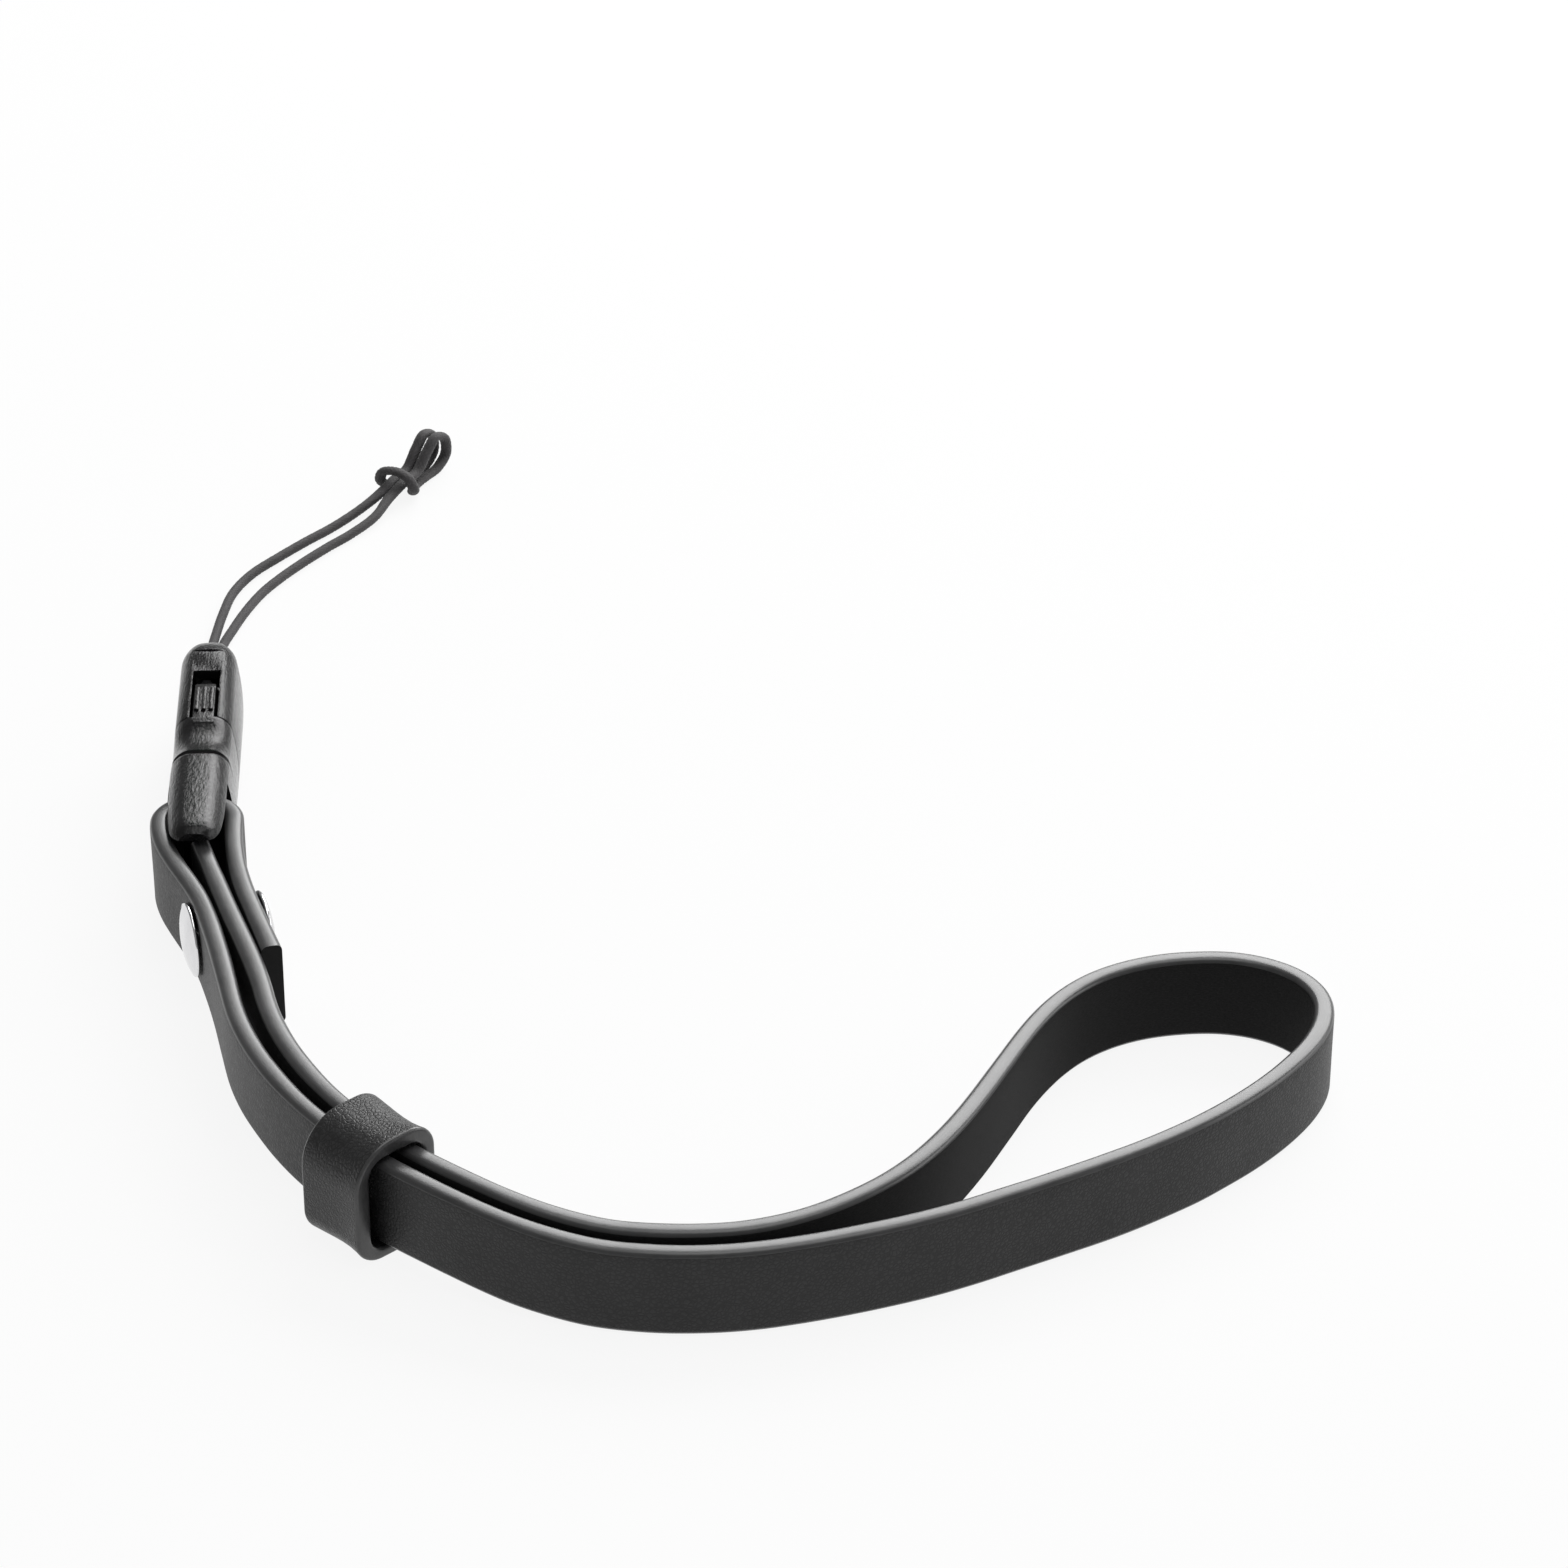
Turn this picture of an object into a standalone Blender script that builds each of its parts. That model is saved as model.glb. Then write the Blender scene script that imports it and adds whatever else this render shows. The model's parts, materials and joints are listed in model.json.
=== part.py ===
"""Camera wrist strap: a flat leather band folded into a wrist loop, a keeper that slides on it,
a double cap rivet, a two piece quick release clip and a thin cord tied in a lark's head.
Everything lies on the surface z = 0 with the leather standing on its edge."""

import math

import bmesh
import bpy
from mathutils import Matrix, Vector

MM = 0.001
OBJECT_NAME = "camera_wrist_strap"

# the gap that touching pieces keep
SEAT = 0.3 * MM

# leather band, standing on its edge
LEATHER_WIDTH = 9.0 * MM
LEATHER_THICKNESS = 2.0 * MM
EDGE_ROUNDING = 0.7 * MM
LAYER_GAP = 1.5 * MM
SIDE_CLEARANCE = 0.4 * MM
PATH_STEP = 2.3 * MM
TURN_STEP = 1.1 * MM

# the doubled stretch: two arcs that meet smoothly, both about vertical axes, from its top below the rivet
ARC_TOP = Vector((-45.907, -12.999, 0.0)) * MM
LONG_ARC_RADIUS = 54.05 * MM
FRONT_ARC_RADIUS = 36.05 * MM
LONG_ARC_START = math.radians(193)
LONG_ARC_END = math.radians(236)
OUTER_LAYER_LEAVES = math.radians(284)
INNER_LAYER_JOINS = math.radians(276)

# the wrist loop beyond the doubled stretch: x, y and heading of the middle of the leather
LOOP_KNOTS = (
    (24.958, -44.44, 29),
    (44.058, -32.54, 39),
    (54.558, -21.24, 56),
    (57.658, -12.44, 90),
    (47.458, -3.84, 180),
    (37.958, -6.24, 209),
    (26.158, -23.24, 246),
    (14.358, -42.44, 222),
)

# keeper ring
KEEPER_LENGTH = 8.0 * MM
KEEPER_WALL = 1.4 * MM
KEEPER_SIDE_GAP = 0.7 * MM
KEEPER_CORNER = 2.2 * MM
KEEPER_RIM = 0.45 * MM
KEEPER_ANGLE = math.radians(223.3)
KEEPER_INSET = 0.12 * MM

# double cap rivet through the three layers at the clip
RIVET_PLACE = Vector((-49.432, 4.18, 0.0)) * MM
RIVET_TURN = math.radians(18)
RIVET_CAP_RADIUS = 3.75 * MM
RIVET_CAP_RIM = 0.35 * MM
RIVET_DOME = 0.9 * MM
RIVET_SHANK_RADIUS = 1.2 * MM
RIVET_CLEARANCE = 0.52 * MM
RIVET_BORE_DEPTH = 0.6 * MM
FLAP_LENGTH = 10.2 * MM
TAIL_GAP = 0.75 * MM
ROUND_STEPS = 32

# quick release clip, lying on its narrow side; its length runs along its own y
CLIP_MOUTH = Vector((-54.628, 36.72, 0.0)) * MM
CLIP_LEAN = math.radians(3.0)
CLIP_THICKNESS = 5.3 * MM
RAIL = 1.4 * MM
CLIP_CORNER = 1.5 * MM
CLIP_BULGE = 0.7 * MM
SOCKET_LENGTH = 17.8 * MM
SOCKET_DOME = 4.6 * MM
SOCKET_SIDE_WALL = 1.05 * MM
SOCKET_NARROW_WALL = 1.2 * MM
SOCKET_END_WALL = 3.0 * MM
WINDOW_WIDTH = 2.9 * MM
WINDOW_LENGTH = 9.9 * MM
BODY_LENGTH = 22.9 * MM
GROOVE_PLACE = 7.3 * MM
GROOVE_WIDTH = 0.9 * MM
GROOVE_DEPTH = 0.45 * MM
RAMP_DEPTH = 0.7 * MM
BAR_PLACE = 19.6 * MM
BAR_RADIUS = 1.3 * MM
BEND_RADIUS = 3.75 * MM
BEND_ABOVE_BAR = 2.55 * MM
SLOT_CLEARANCE = 0.45 * MM
ARM_THICKNESS = 1.3 * MM
ARM_LENGTH = 8.6 * MM
ARM_SHOULDER = 6.8 * MM
TONGUE_LENGTH = 8.2 * MM
TONGUE_HEIGHT = 3.2 * MM
PAD_RIDGE = 0.3 * MM

# cord and the knot that holds it in the clip
CORD_DIAMETER = 1.05 * MM
CORD_PITCH = 1.4 * MM
STRAND_STEP = 3.9 * MM
HITCH_STEP = 1.3 * MM
KNOT_LENGTH = 1.8 * MM
HITCH_PLACE = Vector((-39.442, 110.16, 0.0)) * MM
HITCH_HEADING = math.radians(62)

# the cord's route from the clip, in millimetres: first the far strand, out to the hitch
FAR_STRAND = (
    (-56.542, 57.56, 6.1),
    (-57.242, 63.56, 2.9),
    (-57.642, 69.56, 1.0),
    (-57.642, 75.06, 0.55),
    (-57.242, 80.66, 0.55),
    (-56.542, 85.56, 0.55),
    (-54.842, 89.96, 0.55),
    (-52.042, 94.16, 0.55),
    (-49.242, 97.96, 0.55),
    (-46.542, 101.36, 0.55),
    (-43.842, 104.76, 0.9),
)
# then the near strand, from the hitch back to the clip
NEAR_STRAND = (
    (-41.742, 103.36, 0.9),
    (-44.242, 99.76, 0.55),
    (-46.642, 96.56, 0.55),
    (-49.242, 92.76, 0.55),
    (-51.542, 88.96, 0.55),
    (-53.242, 85.56, 0.55),
    (-54.742, 81.16, 0.55),
    (-55.742, 77.16, 0.55),
    (-56.142, 73.06, 0.55),
    (-56.142, 68.06, 0.65),
    (-56.042, 62.56, 1.6),
    (-55.942, 57.06, 4.3),
)
# half of the lark's head: along the hitch, to its left, and up; the other half mirrors it
HITCH_HALF = (
    (-3.2, -0.75, 1.5),
    (0.2, -0.7, 1.95),
    (3.2, -0.7, 2.1),
    (5.4, -0.75, 3.7),
    (7.3, -0.8, 4.75),
    (9.2, -0.85, 3.7),
    (9.35, -0.85, 1.8),
    (7.5, -0.8, 0.67),
    (4.7, -0.75, 0.6),
    (2.4, -0.8, 0.58),
    (0.8, -1.5, 0.75),
    (-0.2, -2.25, 1.7),
    (-0.5, -1.75, 3.05),
    (-0.5, -0.6, 3.5),
)

# worked out from the sizes above
LIFT = max(RAIL, KEEPER_WALL) + SIDE_CLEARANCE
MID_HEIGHT = LIFT + LEATHER_WIDTH / 2
CLIP_WIDTH = 2 * MID_HEIGHT
LAYER_PITCH = LEATHER_THICKNESS + LAYER_GAP
STACK_PITCH = LEATHER_THICKNESS + SEAT
RIVET_SEAT = STACK_PITCH + LEATHER_THICKNESS / 2 + RIVET_CLEARANCE
BEND_PLACE = BAR_PLACE - BEND_ABOVE_BAR
SLOT_TOP = BEND_PLACE - BEND_RADIUS - LEATHER_THICKNESS / 2 - SLOT_CLEARANCE
HALF_THICK = CLIP_THICKNESS / 2
HALF_WIDE = CLIP_WIDTH / 2


def clear_scene():
    for item in list(bpy.data.objects):
        bpy.data.objects.remove(item)


def make_collection(name):
    collection = bpy.data.collections.new(name)
    bpy.context.scene.collection.children.link(collection)
    return collection


def make_material(name, colour, roughness, metallic=0.0):
    material = bpy.data.materials.new(name)
    material.use_nodes = True
    shader = material.node_tree.nodes["Principled BSDF"]
    shader.inputs["Base Color"].default_value = (*colour, 1.0)
    shader.inputs["Roughness"].default_value = roughness
    shader.inputs["Metallic"].default_value = metallic
    return material


def add_object(name, data, collection, material=None, matrix=None):
    made = bpy.data.objects.new(name, data)
    collection.objects.link(made)
    if material:
        data.materials.append(material)
    if matrix:
        made.matrix_world = matrix
    return made


def mesh_from(name, bm):
    bmesh.ops.recalc_face_normals(bm, faces=bm.faces)
    mesh = bpy.data.meshes.new(name)
    bm.to_mesh(mesh)
    bm.free()
    return mesh


def smooth_by_angle(made, degrees=35):
    made.data.shade_smooth()
    made.data.set_sharp_from_angle(angle=math.radians(degrees))


def add_bevel(made, width, segments, degrees):
    bevel = made.modifiers.new("rounded edges", "BEVEL")
    bevel.width = width
    bevel.segments = segments
    bevel.limit_method = "ANGLE"
    bevel.angle_limit = math.radians(degrees)
    return bevel


def add_boolean(made, cutter, operation="DIFFERENCE"):
    boolean = made.modifiers.new(operation.lower(), "BOOLEAN")
    boolean.operation = operation
    boolean.solver = "EXACT"
    boolean.object = cutter
    return boolean


def hide_cutter(cutter):
    cutter.hide_render = True
    cutter.display_type = "WIRE"


def box_object(name, size, centre, collection, matrix, rounding=0.0):
    """A box with its edges along y rounded when a rounding is given."""
    bm = bmesh.new()
    bmesh.ops.create_cube(bm, size=1.0)
    bmesh.ops.scale(bm, vec=size, verts=bm.verts)
    if rounding:
        along = [edge for edge in bm.edges if abs((edge.verts[0].co - edge.verts[1].co).y) > size[1] / 2]
        bmesh.ops.bevel(bm, geom=along, offset=rounding, segments=3, profile=0.5, affect="EDGES")
    bmesh.ops.translate(bm, vec=centre, verts=bm.verts)
    return add_object(name, mesh_from(name, bm), collection, matrix=matrix)


def cylinder_object(name, radius, length, collection, matrix, steps=ROUND_STEPS):
    """A cylinder along its own z."""
    bm = bmesh.new()
    bmesh.ops.create_cone(bm, cap_ends=True, segments=steps, radius1=radius, radius2=radius, depth=length)
    return add_object(name, mesh_from(name, bm), collection, matrix=matrix)


def rounded_section(half_x, half_z, corner, steps=3):
    """A rounded rectangle in the x and z plane, as a closed run of points."""
    corner = min(corner, half_x * 0.96, half_z * 0.96)
    points = []
    for quarter, (side_x, side_z) in enumerate(((1, 1), (-1, 1), (-1, -1), (1, -1))):
        middle = Vector((side_x * (half_x - corner), side_z * (half_z - corner)))
        for step in range(steps + 1):
            angle = math.radians(90 * quarter + 90 * step / steps)
            points.append(middle + corner * Vector((math.cos(angle), math.sin(angle))))
    return points


def bulged(section, half_z, bulge, cuts=6):
    """A section with its wide faces pushed out: most at their middle and nothing at their ends."""
    filled = []
    for first, second in zip(section, section[1:] + section[:1]):
        pieces = cuts if abs(second.y - first.y) > half_z else 1
        filled += [first.lerp(second, step / pieces) for step in range(pieces)]
    return [Vector((p.x + math.copysign(bulge, p.x) * (1 - (p.y / half_z) ** 2), p.y)) for p in filled]


def loft(name, stations):
    """A closed skin over rounded sections: each station is y, half x, half z and corner."""
    bm = bmesh.new()
    rings = []
    for y, half_x, half_z, corner in stations:
        section = bulged(rounded_section(half_x, half_z, corner), half_z, CLIP_BULGE * half_x / HALF_THICK)
        rings.append([bm.verts.new((point.x, y, point.y)) for point in section])
    count = len(rings[0])
    for lower, upper in zip(rings, rings[1:]):
        for i in range(count):
            following = (i + 1) % count
            bm.faces.new((lower[i], lower[following], upper[following], upper[i]))
    bm.faces.new(rings[0])
    bm.faces.new(rings[-1])
    return mesh_from(name, bm)


def turned(name, profile, collection, material, matrix):
    """A profile of radius and height, top to bottom, turned about its own z."""
    mesh = bpy.data.meshes.new(name)
    points = [(radius, 0.0, height) for radius, height in profile]
    mesh.from_pydata(points, [(i, i + 1) for i in range(len(points) - 1)], [])
    made = add_object(name, mesh, collection, material, matrix)
    screw = made.modifiers.new("turned", "SCREW")
    screw.steps = ROUND_STEPS
    screw.render_steps = ROUND_STEPS
    screw.use_merge_vertices = True
    screw.merge_threshold = 0.00001
    screw.use_smooth_shade = True
    return made


def heading_vector(angle):
    return Vector((math.cos(angle), math.sin(angle), 0.0))


def long_pivot():
    """The axis of the long arc, which the keeper slides about."""
    return ARC_TOP - LONG_ARC_RADIUS * heading_vector(LONG_ARC_START)


def front_pivot():
    return long_pivot() + (LONG_ARC_RADIUS - FRONT_ARC_RADIUS) * heading_vector(LONG_ARC_END)


def arc_points(centre, radius, start, end, step=PATH_STEP):
    count = max(2, math.ceil(abs(end - start) * radius / step))
    angles = [start + (end - start) * i / count for i in range(count + 1)]
    return [centre + radius * heading_vector(angle) for angle in angles]


def bend_points(start, start_heading, end, end_heading, step=PATH_STEP):
    """A smooth bend between two places with a heading at each, both given in radians."""
    turn = (end_heading - start_heading + math.pi) % (2 * math.pi) - math.pi
    handle = (end - start).length / (3 * math.cos(turn / 4) ** 2)
    first = start + handle * heading_vector(start_heading)
    second = end - handle * heading_vector(end_heading)
    count = max(2, math.ceil((end - start).length / step))
    points = []
    for i in range(count + 1):
        t = i / count
        s = 1 - t
        points.append(s**3 * start + 3 * s * s * t * first + 3 * s * t * t * second + t**3 * end)
    return points


def run_through(knots):
    """Bends through a list of places and headings, without the first point."""
    points = []
    for (place, heading), (following, next_heading) in zip(knots, knots[1:]):
        points += bend_points(place, heading, following, next_heading)[1:]
    return points


def clip_matrix(height=0.0):
    return Matrix.Translation(CLIP_MOUTH + Vector((0, 0, height))) @ Matrix.Rotation(CLIP_LEAN, 4, "Z")


def band_path():
    """The middle of the leather from the short flap at the rivet, round the clip's bar, down the
    outer layer, round the wrist loop and back up the inner layer: x, y and the height of its edge."""
    clip = clip_matrix()
    up_clip = math.radians(90) + CLIP_LEAN
    stack = math.radians(90) + RIVET_TURN
    across = STACK_PITCH * heading_vector(RIVET_TURN)
    bend_centre = clip @ Vector((0, -BEND_PLACE, 0))
    side = BEND_RADIUS * heading_vector(CLIP_LEAN)
    bar = clip @ Vector((0, -BAR_PLACE, 0))
    towards_bar = (bar - RIVET_PLACE).normalized()
    flap = [
        (RIVET_PLACE + across - FLAP_LENGTH * heading_vector(stack), stack),
        (RIVET_PLACE + across, stack),
        (bend_centre + side, up_clip),
    ]
    pivot = long_pivot()
    long_start = heading_vector(LONG_ARC_START)
    outer = LONG_ARC_RADIUS + LAYER_PITCH / 2
    inner = LONG_ARC_RADIUS - LAYER_PITCH / 2
    outer_top = [
        (bend_centre - side, up_clip + math.pi),
        (RIVET_PLACE - across, stack + math.pi),
        (pivot + outer * long_start, LONG_ARC_START + math.pi / 2),
    ]
    inner_top = [
        (pivot + inner * long_start, LONG_ARC_START - math.pi / 2),
        (RIVET_PLACE, stack),
        (bar - (BAR_RADIUS + TAIL_GAP) * towards_bar, stack),
    ]
    front = front_pivot()
    front_outer = FRONT_ARC_RADIUS + LAYER_PITCH / 2
    front_inner = FRONT_ARC_RADIUS - LAYER_PITCH / 2
    loop = [(front + front_outer * heading_vector(OUTER_LAYER_LEAVES), OUTER_LAYER_LEAVES + math.pi / 2)]
    loop += [(Vector((x, y, 0)) * MM, math.radians(heading)) for x, y, heading in LOOP_KNOTS]
    loop += [(front + front_inner * heading_vector(INNER_LAYER_JOINS), INNER_LAYER_JOINS - math.pi / 2)]

    flat = [flap[0][0]] + run_through(flap)
    flat += arc_points(bend_centre, BEND_RADIUS, CLIP_LEAN, CLIP_LEAN + math.pi, TURN_STEP)[1:]
    flat += run_through(outer_top)
    flat += arc_points(pivot, outer, LONG_ARC_START, LONG_ARC_END)[1:]
    path = [(point.x, point.y, LIFT) for point in flat]
    down = arc_points(front, front_outer, LONG_ARC_END, OUTER_LAYER_LEAVES)[1:]
    path += [(point.x, point.y, LIFT * (1 - ease(i, len(down)))) for i, point in enumerate(down, 1)]
    path += [(point.x, point.y, 0.0) for point in run_through(loop)]
    up = arc_points(front, front_inner, INNER_LAYER_JOINS, LONG_ARC_END)[1:]
    path += [(point.x, point.y, LIFT * ease(i, len(up))) for i, point in enumerate(up, 1)]
    flat = arc_points(pivot, inner, LONG_ARC_END, LONG_ARC_START)[1:] + run_through(inner_top)
    path += [(point.x, point.y, LIFT) for point in flat]
    return path


def ease(step, count):
    share = step / count
    return share * share * (3 - 2 * share)


def rivet_matrix():
    place = RIVET_PLACE + Vector((0, 0, MID_HEIGHT))
    return Matrix.Translation(place) @ Matrix.Rotation(RIVET_TURN, 4, "Z") @ Matrix.Rotation(math.pi / 2, 4, "Y")


def make_band(parts, cutters, leather):
    """One long strip: a ribbon standing on its edge, thickened and with its edges rounded."""
    bm = bmesh.new()
    pairs = []
    for x, y, z in band_path():
        pairs.append((bm.verts.new((x, y, z)), bm.verts.new((x, y, z + LEATHER_WIDTH))))
    for (low, high), (next_low, next_high) in zip(pairs, pairs[1:]):
        bm.faces.new((low, next_low, next_high, high))
    mesh = bpy.data.meshes.new("leather_band")
    bm.to_mesh(mesh)
    bm.free()
    band = add_object("leather_band", mesh, parts, leather)
    solid = band.modifiers.new("thickness", "SOLIDIFY")
    solid.thickness = LEATHER_THICKNESS
    solid.offset = 0.0
    solid.use_even_offset = True
    add_bevel(band, EDGE_ROUNDING, 2, 50)
    reach = 2 * (STACK_PITCH + LEATHER_THICKNESS)
    hole = cylinder_object("rivet_hole", RIVET_SHANK_RADIUS + SEAT, reach, cutters, rivet_matrix())
    hide_cutter(hole)
    add_boolean(band, hole)
    smooth_by_angle(band)
    return band


def make_keeper(parts, material):
    """A soft rounded ring; its origin is on the axis that it slides about."""
    half_across = LAYER_PITCH / 2 + LEATHER_THICKNESS / 2 + KEEPER_SIDE_GAP + KEEPER_WALL / 2
    half_high = LEATHER_WIDTH / 2 + SIDE_CLEARANCE + KEEPER_WALL / 2
    section = rounded_section(half_across, half_high, KEEPER_CORNER, 5)
    radial = heading_vector(KEEPER_ANGLE)
    along = heading_vector(KEEPER_ANGLE + math.pi / 2)
    middle = (LONG_ARC_RADIUS - KEEPER_INSET) * radial + Vector((0, 0, MID_HEIGHT))
    bm = bmesh.new()
    rings = []
    for end in (-1, 1):
        start = middle + end * KEEPER_LENGTH / 2 * along
        rings.append([bm.verts.new(start + point.x * radial + Vector((0, 0, point.y))) for point in section])
    count = len(section)
    for i in range(count):
        following = (i + 1) % count
        bm.faces.new((rings[0][i], rings[0][following], rings[1][following], rings[1][i]))
    axis = Matrix.Translation(long_pivot())
    keeper = add_object("keeper_ring", mesh_from("keeper_ring", bm), parts, material, axis)
    wall = keeper.modifiers.new("wall", "SOLIDIFY")
    wall.thickness = KEEPER_WALL
    wall.offset = 0.0
    wall.use_even_offset = True
    add_bevel(keeper, KEEPER_RIM, 2, 60)
    smooth_by_angle(keeper)
    return keeper


def dome_profile():
    """The outer side of a rivet cap, from its middle to its rim, as radius and height."""
    points = []
    for step in range(7):
        share = step / 6
        height = RIVET_DOME * math.sqrt(1 - (0.92 * share) ** 2) - RIVET_DOME * math.sqrt(1 - 0.92**2)
        points.append((RIVET_CAP_RADIUS * share, RIVET_SEAT + RIVET_CAP_RIM + height))
    return points + [(RIVET_CAP_RADIUS, RIVET_SEAT)]


def make_rivet(parts, metal):
    bore = RIVET_SHANK_RADIUS + SEAT
    floor = RIVET_SEAT + RIVET_BORE_DEPTH
    cap = dome_profile() + [(bore, RIVET_SEAT), (bore, floor), (0.0, floor)]
    top = floor - SEAT
    post = [(0.0, top), (RIVET_SHANK_RADIUS, top), (RIVET_SHANK_RADIUS, -RIVET_SEAT)]
    post += [(radius, -height) for radius, height in reversed(dome_profile())]
    turned("rivet_cap", cap, parts, metal, rivet_matrix())
    turned("rivet_post", post, parts, metal, rivet_matrix())


def socket_stations():
    """The socket's outer skin from its mouth to its rounded end."""
    stations = [(0.0, HALF_THICK, HALF_WIDE, CLIP_CORNER)]
    start = SOCKET_LENGTH - SOCKET_DOME
    for step in range(7):
        angle = math.radians(84) * step / 6
        narrowing = math.cos(angle)
        half_x = HALF_THICK * (0.36 + 0.64 * narrowing)
        half_z = HALF_WIDE * (0.7 + 0.3 * narrowing)
        corner = CLIP_CORNER * (0.5 + 0.5 * narrowing)
        stations.append((start + SOCKET_DOME * math.sin(angle) / math.sin(math.radians(84)), half_x, half_z, corner))
    return stations


def make_socket(parts, cutters, plastic):
    """The hood of the clip: open at its mouth, a window in each narrow side, a hole for the cord."""
    frame = clip_matrix(MID_HEIGHT)
    socket = add_object("clip_socket", loft("clip_socket", socket_stations()), parts, plastic, frame)
    inside = SOCKET_LENGTH - SOCKET_END_WALL
    overrun = 1.0 * MM
    cavity_size = (CLIP_THICKNESS - 2 * SOCKET_SIDE_WALL, inside + overrun, CLIP_WIDTH - 2 * SOCKET_NARROW_WALL)
    cavity_middle = (0, (inside - overrun) / 2, 0)
    window_size = (WINDOW_WIDTH, WINDOW_LENGTH + overrun, CLIP_WIDTH + 2 * overrun)
    window_middle = (0, (WINDOW_LENGTH - overrun) / 2, 0)
    hole = CORD_DIAMETER + 2 * SEAT
    hole_size = (hole, SOCKET_END_WALL + 2 * overrun, hole + CORD_PITCH)
    hole_middle = (0, SOCKET_LENGTH - SOCKET_END_WALL / 2, 0)
    for name, size, middle, rounding in (
        ("socket_cavity", cavity_size, cavity_middle, 0.5 * MM),
        ("socket_windows", window_size, window_middle, 0.0),
        ("socket_cord_hole", hole_size, hole_middle, 0.45 * hole),
    ):
        cutter = box_object(name, size, middle, cutters, frame, rounding)
        hide_cutter(cutter)
        add_boolean(socket, cutter)
    smooth_by_angle(socket)
    return socket


def body_stations():
    """The plug's body from its far end up to the socket, swelling where the leather turns."""
    top = -SEAT
    ramp = HALF_WIDE - RAMP_DEPTH
    return [
        (-BODY_LENGTH, HALF_THICK * 0.62, HALF_WIDE - 0.6 * MM, CLIP_CORNER * 0.6),
        (-BODY_LENGTH + 0.5 * MM, HALF_THICK * 0.76, HALF_WIDE - 0.2 * MM, CLIP_CORNER * 0.7),
        (-BODY_LENGTH + 1.6 * MM, HALF_THICK * 0.9, HALF_WIDE, CLIP_CORNER * 0.8),
        (-BAR_PLACE + 1.0 * MM, HALF_THICK, HALF_WIDE, CLIP_CORNER),
        (-BEND_PLACE, HALF_THICK * 1.02, HALF_WIDE, CLIP_CORNER * 1.2),
        (-SLOT_TOP, HALF_THICK * 1.03, HALF_WIDE, CLIP_CORNER * 1.4),
        (-GROOVE_PLACE - GROOVE_WIDTH, HALF_THICK * 1.02, HALF_WIDE, CLIP_CORNER * 1.2),
        (-GROOVE_PLACE - GROOVE_WIDTH / 2, HALF_THICK * 1.02, HALF_WIDE, CLIP_CORNER * 1.1),
        (-GROOVE_PLACE - GROOVE_WIDTH / 4, HALF_THICK * 1.02, HALF_WIDE - GROOVE_DEPTH, CLIP_CORNER),
        (-GROOVE_PLACE + GROOVE_WIDTH / 4, HALF_THICK * 1.01, HALF_WIDE - GROOVE_DEPTH, CLIP_CORNER),
        (-GROOVE_PLACE + GROOVE_WIDTH / 2, HALF_THICK * 1.01, HALF_WIDE - 0.1 * MM, CLIP_CORNER),
        (-GROOVE_PLACE * 0.8, HALF_THICK, HALF_WIDE - RAMP_DEPTH * 0.6, CLIP_CORNER),
        (-GROOVE_PLACE * 0.5, HALF_THICK, ramp, CLIP_CORNER),
        (-GROOVE_PLACE * 0.2, HALF_THICK, ramp + RAMP_DEPTH * 0.5, CLIP_CORNER),
        (top, HALF_THICK, HALF_WIDE - 0.05 * MM, CLIP_CORNER),
    ]


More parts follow.
